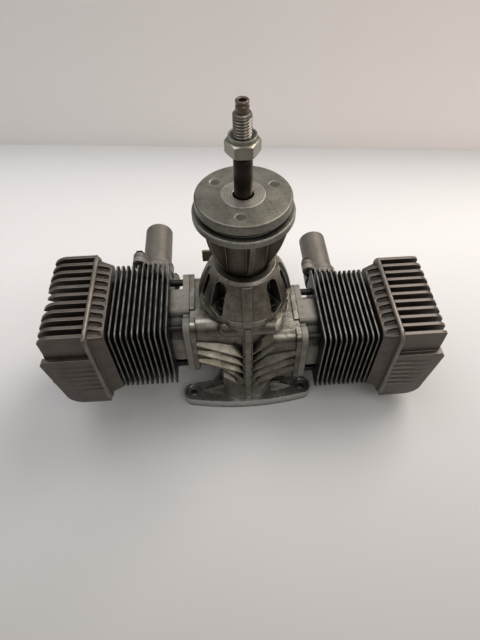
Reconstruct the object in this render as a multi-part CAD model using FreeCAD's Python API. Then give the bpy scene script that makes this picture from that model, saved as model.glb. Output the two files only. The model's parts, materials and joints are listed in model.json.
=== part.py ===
"""Flat twin two-stroke aircraft engine, built as an assembly of separate pieces.

Millimetres.  The origin is on the crank axis in the rear mounting face.  +Z runs along the
crank axis to the propeller, +X points along the right cylinder and +Y is the exhaust side.
The left cylinder lies one rod width and one crank web further forward than the right one.
"""
import FreeCAD, Part
import math
import os

Vector = FreeCAD.Vector

# ------------------------------------------------------------------ driving dimensions
# Fits and joints
FIT = 0.02              # radial clearance of seated round pieces
RUN = 0.06              # radial clearance of turning and sliding pieces
GASKET_T = 0.4

# Crank train
CRANK_THROW = 11.0
ROD_WIDTH = 7.0
WEB_GAP = 0.5
WEB_T = 6.4
WEB_R = 17.5
CRANKPIN_R = 4.0
JOURNAL_R = 7.5
REAR_BANK_Z = 41.6      # axis of the right cylinder above the mounting face
BANK_OFFSET = ROD_WIDTH + 2 * WEB_GAP + WEB_T
FRONT_BANK_Z = REAR_BANK_Z + BANK_OFFSET
ROD_LENGTH = 45.0
BIG_END_WALL = 1.9
NEEDLE_R = 0.75
NEEDLE_COUNT = 16
SMALL_END_R = 6.0
WRIST_PIN_R = 4.0
WRIST_PIN_BORE = 2.4
WRIST_PIN_SHORT = 3.2   # the pin ends this far inside the bore
CLIP_T = 0.8
CLIP_W = 0.9
PIN_EYE_WALL = 3.2      # web metal round a crankpin
RELIEF_R = 5.6          # two blind holes lighten the front web
RELIEF_X = 5.25
RELIEF_Y = 10.85
RELIEF_FLOOR = 2.0
SHANK_STEP = 0.8        # the rod's shank is this much thinner than its ends, each side
PANEL_DEPTH = 2.2
PISTON_BELOW_DECK = 0.8
PISTON_SKIRT = 11.0     # from the wrist pin to the skirt's open end
PISTON_WALL = 2.2
PIN_BOSS_WALL = 2.4
RING_PITCH = 3.2        # crown to first ring, and first ring to second
RING_W = 1.2
RING_DEPTH = 1.6
RING_GAP = 0.6
AXIAL_PLAY = 0.05       # end clearance of pieces that seat against each other

# Bearings: shaft radius, outer radius, width, ball radius
MAIN_BEARING_R = 14.0
MAIN_BEARING_W = 7.0
MAIN_BALL_R = 1.9
NOSE_BEARING_R = 12.0
NOSE_BEARING_W = 6.0
NOSE_BALL_R = 1.7
BALL_COUNT = 8
RACE_T = 1.9

# Crankcase
CAVITY_R = 19.0
CASE_R = 21.5
CASE_TOP_Z = 80.0
STUD_SPACING = 16.7     # half the distance between cylinder studs, both ways
STUD_EDGE = 4.8         # from a stud's axis to the flange edge
ARM_STEP = 1.2          # flange stands this far proud of the arm
ARM_CORNER = 7.0
FLANGE_X = 30.5
CASE_FLANGE_T = 2.6
FLANGE_CORNER = 5.0
NOTCH_Y = 10.2
NOTCH_HALF = 3.0
NOTCH_DEPTH = 2.6
COLLAR_R = 24.5         # round part of the nose joint
COLLAR_FLAT = 22.6      # its four flats, turned 45 degrees
COLLAR_T = 7.0
CASE_RIB_Y = 26.6
RIB_HALF = 2.2
PEDESTAL_X = 14.5
PEDESTAL_Y = 20.0
CASE_SCREW_Y = 19.5
CASE_SCREW_Z = 75.0
CASE_SCREW_LOW_Z = 15.0
CASE_SCREW_LOW_Y = 16.0
CASE_BOSS_R = 5.0
CASE_BOSS_LEFT = 16.0
CASE_BOSS_RIGHT = 14.5
CASE_SCREW_STOP = 6.5   # the screws end this far inside the round ends of their bosses
LOUVER_PITCH = 8.2
LOUVER_RISE = 10.2
LOUVER_SHORT_RISE = 8.0
LOUVER_LIP = 1.8        # lower edge under the louver's middle line
LOUVER_BROW = 3.2       # upper edge over it
PROW_X = 7.0
PROW_Y = 26.0
PROW_TOP_X = 4.0
PROW_TOP_Y = 24.0
WEB_HALF = 1.4          # ear webs
WEB_RISE = 8.0
BEARING_LIP = 1.5       # shoulder that stops a main bearing

# Mounting plate
PLATE_T = 7.5
EAR_X = 34.5
EAR_Y = 18.5
EAR_R = 6.2
PLATE_BULGE = 3.4
PLATE_WAIST = 17.5
MOUNT_HOLE_R = 2.6
MOUNT_SPOT_R = 4.6
MOUNT_SPOT_DEPTH = 1.2

# Cylinders
BORE_R = 17.0
LINER_R = 18.6
BASE_T = 3.4
BARREL_R = 19.0
TRANSFER_HALF = 9.0
TRANSFER_Z = 21.6
TRANSFER_Y = 20.4
DECK_X = 73.5
FIN_COUNT = 11
FIN_FIRST_X = 42.3
FIN_PITCH = 2.925
FIN_T = 1.0
FIN_PAST_STUD_Y = 9.8
FIN_PAST_STUD_Z = 8.8
FIN_CORNER = 3.5
CORE_PAST_STUD = 3.6
CORE_CORNER = 5.0
STUD_R = 2.0
STUD_DEPTH = 8.0

# Heads
RIM_X = 81.4
RIM_T = 2.0
RIM_HALF_Y = 29.7
RIM_HALF_Z = 30.8
RIM_CORNER = 5.0
SKIRT_IN = 3.4          # the skirt's inner end is this far inside the rim
SCOOP_R = 2.0
SCOOP_DEPTH = 3.4
HEAD_CORE_PAST_STUD = 5.4
HEAD_FIN_COUNT = 11
HEAD_FIN_PITCH = 5.6
HEAD_FIN_T = 1.9
HEAD_FLOOR_X = 86.5
HEAD_TIP_X = 109.2
HEAD_TIP_DROP = 3.0
HEAD_FIN_TOP = 30.2
HEAD_FOOT_CORNER = 9.0
CHAMBER_DEPTH = 5.0
PLUG_TILT = 28.0        # degrees from the cylinder axis
PLUG_HOLE_R = 5.0
PLUG_HOLE_LENGTH = 9.0
PLUG_WELL_R = 9.8
PLUG_SEAT = 14.5        # from the chamber to the plug seat, along the plug
STEP_Y = 31.4
STEP_TOP = 13.5
STEP_TIP_X = 110.4
RIDGE_COUNT = 6
RIDGE_PITCH = 4.6
RIDGE_TOP = 6.5
RIDGE_LENGTH = 13.0
RIDGE_H = 0.6
NUT_WELL_R = 4.4
NUT_H = 3.2
NUT_FLATS = 7.0
RIDGE_HALF = 0.9
STUD_CLEARANCE = 0.1
HEAD_CLEARANCE = 0.3    # round a screw head in its counterbore

# Exhaust
PORT_X = 53.5
PORT_R = 7.2
PORT_FACE_Y = 43.0
DUCT_HALF = 10.0
EXHAUST_BOLT_X = 9.5
EXHAUST_BOLT_Z = 11.0
EXHAUST_BOLT_R = 1.5
EXHAUST_BOLT_FLATS = 5.5
EXHAUST_BOLT_H = 2.4
EXHAUST_BOLT_GRIP = 7.0
EXHAUST_LOBE_R = 3.8
EXHAUST_FLANGE_T = 3.0
EXHAUST_COLLAR = 1.6
STUB_R = 9.0
STUB_WALL = 1.6
STUB_END_Y = 79.0
SCREW_R = 2.0
SCREW_HEAD_R = 3.5
SCREW_HEAD_H = 4.0
SOCKET_R = 1.75
SOCKET_DEPTH = 2.0
TAP_SPARE = 1.0         # a tapped hole runs this far past its screw's end

# Nose housing
NOSE_TOP_Z = 105.5
NOSE_RING_R = 16.6
NOSE_OPENING_R = 12.7
NOSE_BASE_T = 3.6
NOSE_MID_R = 21.4
NOSE_MID_Z = 94.5
NOSE_SCREW_PCR = 18.6
NOSE_SCREW_R = 1.5
NOSE_SCREW_HEAD_R = 2.75
NOSE_SCREW_HEAD_H = 3.0
NOSE_SCREW_GRIP = 8.0   # length of screw in the case
CARRIER_R = 14.4
WINDOW_TURN = 42.5      # degrees from the Y axis
WINDOW_HALF = 4.0
WINDOW_TOP_Z = 103.4
WINDOW_CUT = 3.0        # the window's foot rises this much towards the side
SLOT_TURN = 74.0
SLOT_HALF = 1.8
SLOT_TOP_Z = 101.5
NOSE_BEARING_Z = 91.0
SEAL_T = 5.0

# Prop driver and shaft
DISC_R = 22.0
DISC_TOP_Z = 146.0
DISC_T = 5.0
GROOVE_R = 19.8
GROOVE_T = 2.5
LOWER_FLANGE_R = 23.66
LOWER_FLANGE_T = 3.8
NECK_R = 11.8
NECK_TOP_R = 13.0
GUSSET_COUNT = 6
GUSSET_T = 2.1
GUSSET_KNEE_R = 17.0
GUSSET_KNEE_Z = 115.5
GUSSET_TIP = 1.8        # gussets end this far inside the flange rim
GUSSET_TURN = 7.0
HUB_FOOT_WALL = 1.8     # narrow foot of the hub inside the nose bearing's bore
HUB_FOOT_RISE = 2.4
SHOULDER_T = 3.0        # hub metal that the thrust ring rests on
INSERT_R = 9.9
INSERT_T = 4.0
DIMPLE_PCR = 15.5
DIMPLE_R = 2.5
HUB_SEAT_R = 6.0
STUD_SHAFT_R = 4.1
SHAFT_TIP_Z = 188.4
PILOT_LENGTH = 4.8
THREAD_LENGTH = 20.6
THREAD_R = 3.9
PILOT_R = 2.7
CENTRE_HOLE_R = 1.5
CENTRE_HOLE_DEPTH = 6.0
NUT_BACK = 16.6         # from the thread's end to the nut's rear face
PROP_NUT_FLATS = 13.0
PROP_NUT_H = 5.6
PROP_NUT_COLLAR_R = 5.9
PROP_NUT_COLLAR_H = 1.9
PROP_NUT_COLLAR_WALL = 0.7
KEY_W = 3.0
KEY_H = 3.0
KEY_LENGTH = 12.0

# Carburettor, on the exhaust side
CARB_Z = 51.5
INTAKE_R = 7.0
PAD_Y = 24.0
PAD_HALF_X = 15.0
PAD_HALF_Z = 13.0
INSULATOR_T = 6.0
CARB_HALF_X = 15.0
CARB_HALF_Z = 13.0
CARB_LENGTH = 29.0
CARB_BOLT_X = 11.5
CARB_BOLT_Z = 9.5
CARB_BOLT_GRIP = 7.0
COVER_T = 3.5
CARB_FLANGE_T = 4.0
TRUNK_STEP = 3.0        # the body behind its flange is this much narrower, each side
MOUTH_WALL = 3.2
MOUTH_LENGTH = 6.0
COVER_STEP = 4.4        # covers are this much narrower than the body, each side
COVER_START = 9.0
DOME_R = 5.0
DOME_H = 1.2
NIPPLE_R = 2.0
NIPPLE_BORE = 1.0
NIPPLE_H = 8.0
THROTTLE_FROM_FACE = 7.2
CHOKE_FROM_FACE = 21.4
SPINDLE_R = 1.5
FLAP_T = 0.8
LEVER_T = 1.2
LEVER_ROOT = 3.2
LEVER_TIP = 1.6
LINK_HOLE_R = 0.9
LINK_FROM_TIP = 4.0
LEVER_OUT = 5.5         # from the body's side to the throttle spindle's end
HANDLE_OUT = 8.5        # from the body's side to the choke's handle
HANDLE_R = 3.2
HANDLE_HALF = 2.0
HANDLE_TIP_R = 2.6
SPINDLE_PROUD = 1.2     # spindles stand this proud of the side without a lever
LEVER_REACH = 17.5
TAB_W = 8.0
CHOKE_REACH = 11.0
NEEDLE_SCREW_R = 1.2
NEEDLE_SCREW_HEAD_R = 2.5
NEEDLE_SCREW_HEAD_H = 3.2
NEEDLE_SCREW_REACH = 13.0
NEEDLE_SCREW_Y = 13.5
NEEDLE_SCREW_Z = 8.0

# ------------------------------------------------------------------ worked-out places
LEFT, RIGHT = -1, 1
FLANGE_HALF = STUD_SPACING + STUD_EDGE
ARM_HALF = FLANGE_HALF - ARM_STEP
CORE_HALF = STUD_SPACING + CORE_PAST_STUD
FIN_HALF_Y = STUD_SPACING + FIN_PAST_STUD_Y
FIN_HALF_Z = STUD_SPACING + FIN_PAST_STUD_Z
SKIRT_HALF_Y = RIM_HALF_Y - SKIRT_IN
SKIRT_HALF_Z = RIM_HALF_Z - SKIRT_IN
THREAD_END_Z = SHAFT_TIP_Z - PILOT_LENGTH
THREAD_START_Z = THREAD_END_Z - THREAD_LENGTH
NUT_Z = THREAD_END_Z - NUT_BACK
WEB_FRONT_Z = FRONT_BANK_Z + ROD_WIDTH / 2 + WEB_GAP
WEB_MIDDLE_Z = REAR_BANK_Z + ROD_WIDTH / 2 + WEB_GAP
WEB_REAR_Z = REAR_BANK_Z - ROD_WIDTH / 2 - WEB_GAP - WEB_T
CAVITY_LOW_Z = WEB_REAR_Z - 1.0
CAVITY_TOP_Z = WEB_FRONT_Z + WEB_T + 1.0
FRONT_BEARING_Z = CAVITY_TOP_Z + 1.2
REAR_BEARING_Z = CAVITY_LOW_Z - 1.2 - MAIN_BEARING_W
BARREL_X = FLANGE_X + GASKET_T
HEAD_X = DECK_X + GASKET_T
NOSE_Z = CASE_TOP_Z + GASKET_T
LOWER_FLANGE_TOP = DISC_TOP_Z - DISC_T - GROOVE_T
LOWER_FLANGE_Z = LOWER_FLANGE_TOP - LOWER_FLANGE_T
HUB_FOOT_Z = NOSE_BEARING_Z + NOSE_BEARING_W + 0.05
INSULATOR_Y = PAD_Y + GASKET_T
CARB_Y = INSULATOR_Y + INSULATOR_T + GASKET_T
THROTTLE_Y = CARB_Y + THROTTLE_FROM_FACE
CHOKE_Y = CARB_Y + CHOKE_FROM_FACE
STUB_Y = PORT_FACE_Y + GASKET_T
PIN_X = CRANK_THROW + ROD_LENGTH
CROWN_X = DECK_X - PISTON_BELOW_DECK
PISTON_R = BORE_R - RUN
NOSE_SEAT_Z = NOSE_Z + NOSE_BASE_T
CARB_END_Y = CARB_Y + CARB_LENGTH
TRUNK_HALF = CARB_HALF_X - TRUNK_STEP
NEEDLE_SCREW_DROP = 2 * NEEDLE_SCREW_HEAD_R + 1.0
NEEDLE_SCREW_PLACES = [(CARB_Y + NEEDLE_SCREW_Y, CARB_Z + NEEDLE_SCREW_Z - NEEDLE_SCREW_DROP * k)
                       for k in range(2)]


# ------------------------------------------------------------------ helpers
def outline(start, *steps):
    """Flat face in the XY plane: a point is a straight run to it, a pair (via, end) is an arc."""
    edges = []
    here = Vector(start[0], start[1], 0)
    first = here
    for step in steps:
        if isinstance(step[0], tuple):
            via, end = (Vector(p[0], p[1], 0) for p in step)
            edges.append(Part.Arc(here, via, end).toShape())
        else:
            end = Vector(step[0], step[1], 0)
            edges.append(Part.LineSegment(here, end).toShape())
        here = end
    if here.distanceToPoint(first) > 1e-6:
        edges.append(Part.LineSegment(here, first).toShape())
    return Part.Face(Part.Wire(edges))


def rounded_rect(half_u, half_v, r):
    """Rectangle centred on the origin with round corners."""
    u, v = half_u - r, half_v - r
    k = r * math.sqrt(0.5)
    return outline(
        (u, -half_v), ((u + k, -v - k), (half_u, -v)),
        (half_u, v), ((u + k, v + k), (u, half_v)),
        (-u, half_v), ((-u - k, v + k), (-half_u, v)),
        (-half_u, -v), ((-u - k, -v - k), (-u, -half_v)))


def turn(x_dir, y_dir, z_dir):
    """Rotation that carries the X, Y and Z axes onto the given directions."""
    return FreeCAD.Rotation(Vector(*x_dir), Vector(*y_dir), Vector(*z_dir), "ZXY")


def placed(shape, rotation, base):
    """Copy of a shape with its own origin turned and put at base."""
    shape = shape.copy()
    shape.Placement = FreeCAD.Placement(Vector(*base), rotation)
    return shape


def along_x(face, x0, x1):
    """Extrude a (y, z) outline from x0 to x1."""
    solid = face.extrude(Vector(0, 0, x1 - x0))
    return placed(solid, turn((0, 1, 0), (0, 0, 1), (1, 0, 0)), (x0, 0, 0))


def along_y(face, y0, y1):
    """Extrude an (x, z) outline from y0 to y1."""
    solid = face.extrude(Vector(0, 0, y1 - y0))
    return placed(solid, turn((1, 0, 0), (0, 0, 1), (0, -1, 0)), (0, y1, 0))


def along_z(face, z0, z1):
    """Extrude an (x, y) outline from z0 to z1."""
    return placed(face.extrude(Vector(0, 0, z1 - z0)), FreeCAD.Rotation(), (0, 0, z0))


def turned(start, *steps):
    """Revolve an (r, z) outline about the crank axis."""
    face = placed(outline(start, *steps), turn((1, 0, 0), (0, 0, 1), (0, -1, 0)), (0, 0, 0))
    return face.revolve(Vector(), Vector(0, 0, 1), 360)


def turned_x(start, *steps):
    """Revolve an (x, r) outline about the X axis."""
    return outline(start, *steps).revolve(Vector(), Vector(1, 0, 0), 360)


def box(x0, x1, y0, y1, z0, z1):
    """Block between two corners."""
    return Part.makeBox(x1 - x0, y1 - y0, z1 - z0, Vector(x0, y0, z0))


def rod(r, start, end):
    """Round bar from start to end."""
    axis = Vector(*end) - Vector(*start)
    return Part.makeCylinder(r, axis.Length, Vector(*start), axis)


def tube(r_out, r_in, start, end):
    """Round bar with a bore right through."""
    return rod(r_out, start, end).cut(rod(r_in, start, end))


def fuse(first, *others):
    """One solid from several, with the seams between flush faces taken out."""
    return first.multiFuse(list(others)).removeSplitter()


def cut(body, *tools):
    """The body without its tools."""
    return body.cut(list(tools))


def moved(shape, x=0.0, y=0.0, z=0.0):
    """Shifted copy."""
    shape = shape.copy()
    shape.translate(Vector(x, y, z))
    return shape


def spun(shape, angle, axis=(0, 0, 1), centre=(0, 0, 0)):
    """Copy turned by an angle in degrees."""
    shape = shape.copy()
    shape.rotate(Vector(*centre), Vector(*axis), angle)
    return shape


def around(shape, count, first=0.0):
    """Copies of a shape spread evenly about the crank axis."""
    return [spun(shape, first + 360.0 * k / count) for k in range(count)]


def on_bank(shape, side):
    """Put a piece made on the X axis on its cylinder axis; the left one is turned about Y."""
    if side == LEFT:
        return moved(spun(shape, 180, (0, 1, 0)), z=FRONT_BANK_Z)
    return moved(shape, z=REAR_BANK_Z)


def hexagon(flats):
    """Hexagon prism face across the given flats, with two flats facing -Y and +Y."""
    r = flats / math.sqrt(3)
    corners = [(r * math.cos(math.radians(60 * k)), r * math.sin(math.radians(60 * k)))
               for k in range(6)]
    return outline(*corners)


def cap_screw(start, end, head_r=SCREW_HEAD_R, head_h=SCREW_HEAD_H, shank_r=SCREW_R):
    """Socket head screw whose head sits at start and whose shank ends at end."""
    s, e = Vector(*start), Vector(*end)
    back = (s - e).normalize() * head_h
    top = s + back
    head = rod(head_r, s, top)
    socket = rod(SOCKET_R * head_r / SCREW_HEAD_R, top - back * (SOCKET_DEPTH / head_h), top)
    return cut(fuse(head, rod(shank_r, s, e)), socket)


def corners_of(half_u, half_v):
    """The four corners of a rectangle centred on the origin."""
    return [(u, v) for u in (-half_u, half_u) for v in (-half_v, half_v)]


nodes = {}


def keep(name, *solids):
    """Name one sub-part: one solid, or a group of identical separate ones."""
    nodes[name] = solids[0] if len(solids) == 1 else Part.makeCompound(list(solids))


# ------------------------------------------------------------------ crankcase halves
def plate_face():
    """Butterfly plate with four round ears, bowed front and rear edges and a narrow waist."""
    edge = EAR_Y + EAR_R
    inner = EAR_Y - EAR_R
    throat = EAR_X * 0.64
    bow = edge + PLATE_BULGE
    return outline(
        (EAR_X, -edge), ((EAR_X + EAR_R, -EAR_Y), (EAR_X, -inner)),
        (throat, -inner + 1.6), ((PLATE_WAIST, 0), (throat, inner - 1.6)),
        (EAR_X, inner), ((EAR_X + EAR_R, EAR_Y), (EAR_X, edge)),
        ((0, bow), (-EAR_X, edge)), ((-EAR_X - EAR_R, EAR_Y), (-EAR_X, inner)),
        (-throat, inner - 1.6), ((-PLATE_WAIST, 0), (-throat, -inner + 1.6)),
        (-EAR_X, -inner), ((-EAR_X - EAR_R, -EAR_Y), (-EAR_X, -edge)),
        ((0, -bow), (EAR_X, -edge)))


def collar(z0, z1, grow=0.0):
    """Round joint face with four flats between the ribs."""
    flat = COLLAR_FLAT + grow
    square = spun(box(-flat, flat, -flat, flat, z0, z1), 45)
    return rod(COLLAR_R + grow, (0, 0, z0), (0, 0, z1)).common(square)


def arm(side):
    """Square arm that carries one cylinder, with its stud flange."""
    axis_z = FRONT_BANK_Z if side == LEFT else REAR_BANK_Z
    body = along_x(rounded_rect(ARM_HALF, ARM_HALF, ARM_CORNER), 0, FLANGE_X)
    flange = along_x(flange_face(), FLANGE_X - CASE_FLANGE_T, FLANGE_X)
    both = fuse(body, flange)
    if side == LEFT:
        both = both.mirror(Vector(), Vector(1, 0, 0))
    return moved(both, z=axis_z)


def flange_face():
    """Cylinder base joint: square, with a notch beside each front stud."""
    h, r = FLANGE_HALF, FLANGE_CORNER
    k = r * (1 - math.sqrt(0.5))
    mid, depth = -NOTCH_Y, NOTCH_DEPTH
    notch_in, notch_out = mid + NOTCH_HALF, mid - NOTCH_HALF
    return outline(
        (-h, -h + r), ((-h + k, -h + k), (-h + r, -h)),
        (notch_out, -h), ((mid, -h + depth), (notch_in, -h)),
        (h - r, -h), ((h - k, -h + k), (h, -h + r)),
        (h, h - r), ((h - k, h - k), (h - r, h)),
        (notch_in, h), ((mid, h - depth), (notch_out, h)),
        (-h + r, h), ((-h + k, h - k), (-h, h - r)))


def louver(side, z_inner, full):
    """Shingle-shaped cooling louver: a sloping brow over a sharp lip, rising towards the flange."""
    reach = FLANGE_X - CASE_FLANGE_T + 0.4 if full else PEDESTAL_X
    rise = LOUVER_RISE if full else LOUVER_SHORT_RISE
    root = -ARM_HALF + 2.0

    def section(x, z, lip_y, size):
        lip, brow = LOUVER_LIP * size, LOUVER_BROW * size
        points = [Vector(x, root, z + brow), Vector(x, lip_y, z - lip + 1.0 * size),
                  Vector(x, lip_y, z - lip), Vector(x, root, z - lip + 0.6 * size)]
        return Part.makePolygon(points + points[:1])

    mid = reach * 0.55
    sections = [section(0, z_inner, -CASE_RIB_Y + 0.9, 1.0),
                section(mid, z_inner + rise * 0.60, -CASE_RIB_Y + 2.6, 1.08),
                section(reach, z_inner + rise, -FLANGE_HALF - 0.4, 0.62)]
    solid = Part.makeLoft(sections, True, True)
    return solid.mirror(Vector(), Vector(1, 0, 0)) if side == LEFT else solid


def louvers():
    """Two flights of louvers, mirrored in lean but stepped apart by the bank offset."""
    rows = []
    for side, first, last, axis_z in ((LEFT, 0, 5, FRONT_BANK_Z), (RIGHT, -2, 4, REAR_BANK_Z)):
        for k in range(first, last):
            z_inner = axis_z - 2.0 - LOUVER_PITCH * k
            full = 0 <= k <= 2
            rows.append(louver(side, z_inner, full))
    return rows


def case_rib(sign):
    """Upright rib down the middle of the case, wide at its root and narrow at its crest."""
    root = outline((sign * ARM_HALF * 0.9, PLATE_T - 1), (sign * (CASE_RIB_Y - 1.6), PLATE_T - 1),
                   (sign * (CASE_RIB_Y - 1.6), CASE_TOP_Z - 18),
                   (sign * (COLLAR_R - 0.5), CASE_TOP_Z), (sign * ARM_HALF * 0.9, CASE_TOP_Z))
    crest = outline((sign * ARM_HALF * 0.9, PLATE_T - 1), (sign * CASE_RIB_Y, PLATE_T - 1),
                    (sign * CASE_RIB_Y, CASE_TOP_Z - 18),
                    (sign * (COLLAR_R + 0.9), CASE_TOP_Z), (sign * ARM_HALF * 0.9, CASE_TOP_Z))
    return fuse(along_x(root, -RIB_HALF - 0.5, RIB_HALF + 0.5),
                along_x(crest, -RIB_HALF + 0.6, RIB_HALF - 0.6))


def prow_wire(z, side_x, side_y, front_x, front_y):
    """Eight-cornered section of the foot, drawn in towards the front and rear ribs."""
    quarter = [(side_x, side_y), (front_x, front_y)]
    points = quarter + [(-x, y) for x, y in reversed(quarter)]
    points += [(x, -y) for x, y in reversed(points)]
    return Part.makePolygon([Vector(x, y, z) for x, y in points + points[:1]])


def clamp_boss(y, z):
    """Boss for a screw across the case: flat on the right, round-ended on the left."""
    ball_x = -CASE_BOSS_LEFT + CASE_BOSS_R
    return fuse(rod(CASE_BOSS_R, (ball_x, y, z), (CASE_BOSS_RIGHT, y, z)),
                Part.makeSphere(CASE_BOSS_R, Vector(ball_x, y, z)))


def ear_web(x_sign, y_sign):
    """Raised web that runs from the pedestal out to an ear."""
    tip_x = EAR_X - EAR_R * 1.1
    face = outline((0, PLATE_T - 1), (tip_x, PLATE_T - 1), (tip_x, PLATE_T + 0.6),
                   (PEDESTAL_X - 1, PLATE_T + WEB_RISE), (0, PLATE_T + WEB_RISE))
    web = along_y(face, -WEB_HALF, WEB_HALF)
    web = moved(web, y=-EAR_Y + 1.0)
    if x_sign < 0:
        web = web.mirror(Vector(), Vector(1, 0, 0))
    if y_sign > 0:
        web = web.mirror(Vector(), Vector(0, 1, 0))
    return web


def clamp_places():
    """(y, z) of the screws that clamp the case halves: a pair under the collar, a pair in the foot."""
    upper = [(s * CASE_SCREW_Y, CASE_SCREW_Z) for s in (-1, 1)]
    lower = [(s * CASE_SCREW_LOW_Y, CASE_SCREW_LOW_Z) for s in (-1, 1)]
    return upper, lower


def crankcase():
    """Outside of the whole case, before the bores and the split."""
    column = rod(CASE_R, (0, 0, CAVITY_LOW_Z - 4), (0, 0, CASE_TOP_Z - COLLAR_T))
    pedestal = along_z(rounded_rect(PEDESTAL_X, PEDESTAL_Y, 5.0), 1, FRONT_BANK_Z - ARM_HALF + 3)
    prow_foot = prow_wire(PLATE_T - 0.5, PEDESTAL_X + 1.2, EAR_Y, PROW_X, PROW_Y)
    prow_top = prow_wire(CAVITY_LOW_Z, PEDESTAL_X, ARM_HALF - 2, PROW_TOP_X, PROW_TOP_Y)
    prow = Part.makeLoft([prow_foot, prow_top], True, True)
    pad = along_y(rounded_rect(PAD_HALF_X, PAD_HALF_Z, 3.0), 14.0, PAD_Y)
    upper, lower = clamp_places()
    parts = [arm(RIGHT), column, pedestal, prow, along_z(plate_face(), 0, PLATE_T),
             collar(CASE_TOP_Z - COLLAR_T, CASE_TOP_Z), case_rib(-1), case_rib(1),
             moved(pad, z=CARB_Z)]
    parts += louvers()
    parts += [clamp_boss(y, z) for y, z in upper]
    parts += [ear_web(sx, sy) for sx in (-1, 1) for sy in (-1, 1)]
    body = fuse(arm(LEFT), *parts)

    seat_r, lip_r = MAIN_BEARING_R + FIT, MAIN_BEARING_R - BEARING_LIP
    pad_low, pad_high = CARB_Z - PAD_HALF_Z - 0.5, CARB_Z + PAD_HALF_Z + 0.5
    bores = [rod(CAVITY_R, (0, 0, CAVITY_LOW_Z), (0, 0, CAVITY_TOP_Z)),
             rod(seat_r, (0, 0, FRONT_BEARING_Z), (0, 0, CASE_TOP_Z + 1)),
             rod(lip_r, (0, 0, CAVITY_TOP_Z - 1), (0, 0, FRONT_BEARING_Z + 1)),
             rod(seat_r, (0, 0, REAR_BEARING_Z), (0, 0, REAR_BEARING_Z + MAIN_BEARING_W)),
             rod(lip_r, (0, 0, REAR_BEARING_Z + 1), (0, 0, CAVITY_LOW_Z + 1)),
             rod(JOURNAL_R + 1, (0, 0, REAR_BEARING_Z - 3), (0, 0, REAR_BEARING_Z + 1)),
             rod(LINER_R + FIT, (0, 0, REAR_BANK_Z), (FLANGE_X + 1, 0, REAR_BANK_Z)),
             rod(LINER_R + FIT, (0, 0, FRONT_BANK_Z), (-FLANGE_X - 1, 0, FRONT_BANK_Z)),
             rod(INTAKE_R, (0, 0, CARB_Z), (0, PAD_Y + 1, CARB_Z)),
             box(-PAD_HALF_X, PAD_HALF_X, PAD_Y, PAD_Y + 9, pad_low, pad_high)]
    for y, z in corners_of(STUD_SPACING, STUD_SPACING):
        for side, axis_z in ((LEFT, FRONT_BANK_Z), (RIGHT, REAR_BANK_Z)):
            x_in, x_out = side * (FLANGE_X - STUD_DEPTH), side * (FLANGE_X + 1)
            bores.append(rod(STUD_R + FIT, (x_in, y, axis_z + z), (x_out, y, axis_z + z)))
    for x, y in corners_of(EAR_X, EAR_Y):
        bores.append(rod(MOUNT_HOLE_R, (x, y, -1), (x, y, PLATE_T + 1)))
        bores.append(rod(MOUNT_SPOT_R, (x, y, PLATE_T - MOUNT_SPOT_DEPTH), (x, y, PLATE_T + 9)))
    tap_end = CASE_TOP_Z - NOSE_SCREW_GRIP - TAP_SPARE
    hole = rod(NOSE_SCREW_R + FIT, (NOSE_SCREW_PCR, 0, tap_end), (NOSE_SCREW_PCR, 0, CASE_TOP_Z + 1))
    bores += by_window(hole, WINDOW_TURN)
    for y, z in upper + lower:
        face_x = CASE_BOSS_RIGHT
        bores.append(rod(SCREW_R + FIT, (-CASE_BOSS_LEFT + CASE_SCREW_STOP - 0.5, y, z), (face_x + 1, y, z)))
        bores.append(rod(SCREW_HEAD_R + HEAD_CLEARANCE, (face_x - SCREW_HEAD_H, y, z), (face_x + 9, y, z)))
    for x, z in corners_of(CARB_BOLT_X, CARB_BOLT_Z):
        tap_end = PAD_Y - CARB_BOLT_GRIP - TAP_SPARE
        bores.append(rod(SCREW_R + FIT, (x, tap_end, CARB_Z + z), (x, PAD_Y + 1, CARB_Z + z)))
    return cut(body, *bores)


def build_crankcase():
    """The case split on the YZ plane, and the four screws that close it."""
    whole = crankcase()
    big = 200.0
    keep("crankcase_left", whole.common(box(-big, 0, -big, big, -big, big)))
    keep("crankcase_right", whole.common(box(0, big, -big, big, -big, big)))
    upper, lower = clamp_places()
    head_x = CASE_BOSS_RIGHT - SCREW_HEAD_H
    keep("crankcase_screws", *[cap_screw((head_x, y, z), (-CASE_BOSS_LEFT + CASE_SCREW_STOP, y, z))
                               for y, z in upper + lower])


# ------------------------------------------------------------------ nose housing
def by_window(shape, turn):
    """The piece made on the -Y side, turned to its place left of the front rib, and its mirrors."""
    first = spun(shape, -90 - turn)
    side = first.mirror(Vector(), Vector(1, 0, 0))
    return [first, side] + [s.mirror(Vector(), Vector(0, 1, 0)) for s in (first, side)]


def window():
    """Pocket cutter on the X axis: round top, and a foot that rises to one side."""
    w, top = WINDOW_HALF, WINDOW_TOP_Z
    foot = NOSE_SEAT_Z
    face = outline(
        (w * 0.55, foot), (w, foot + WINDOW_CUT * 0.6), (w * 0.9, top - 5.0),
        ((0, top), (-w * 0.9, top - 5.0)), (-w, foot + 8.0), (-w, foot + WINDOW_CUT))
    return along_x(face, CARRIER_R, 40.0)


def side_slot():
    """Narrow upright pocket in the side struts."""
    w, foot = SLOT_HALF, NOSE_SEAT_Z + 2.5
    face = outline((-w, foot), (w, foot), (w, SLOT_TOP_Z - w), ((0, SLOT_TOP_Z), (-w, SLOT_TOP_Z - w)))
    return along_x(face, CARRIER_R + 1.5, 40.0)


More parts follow.
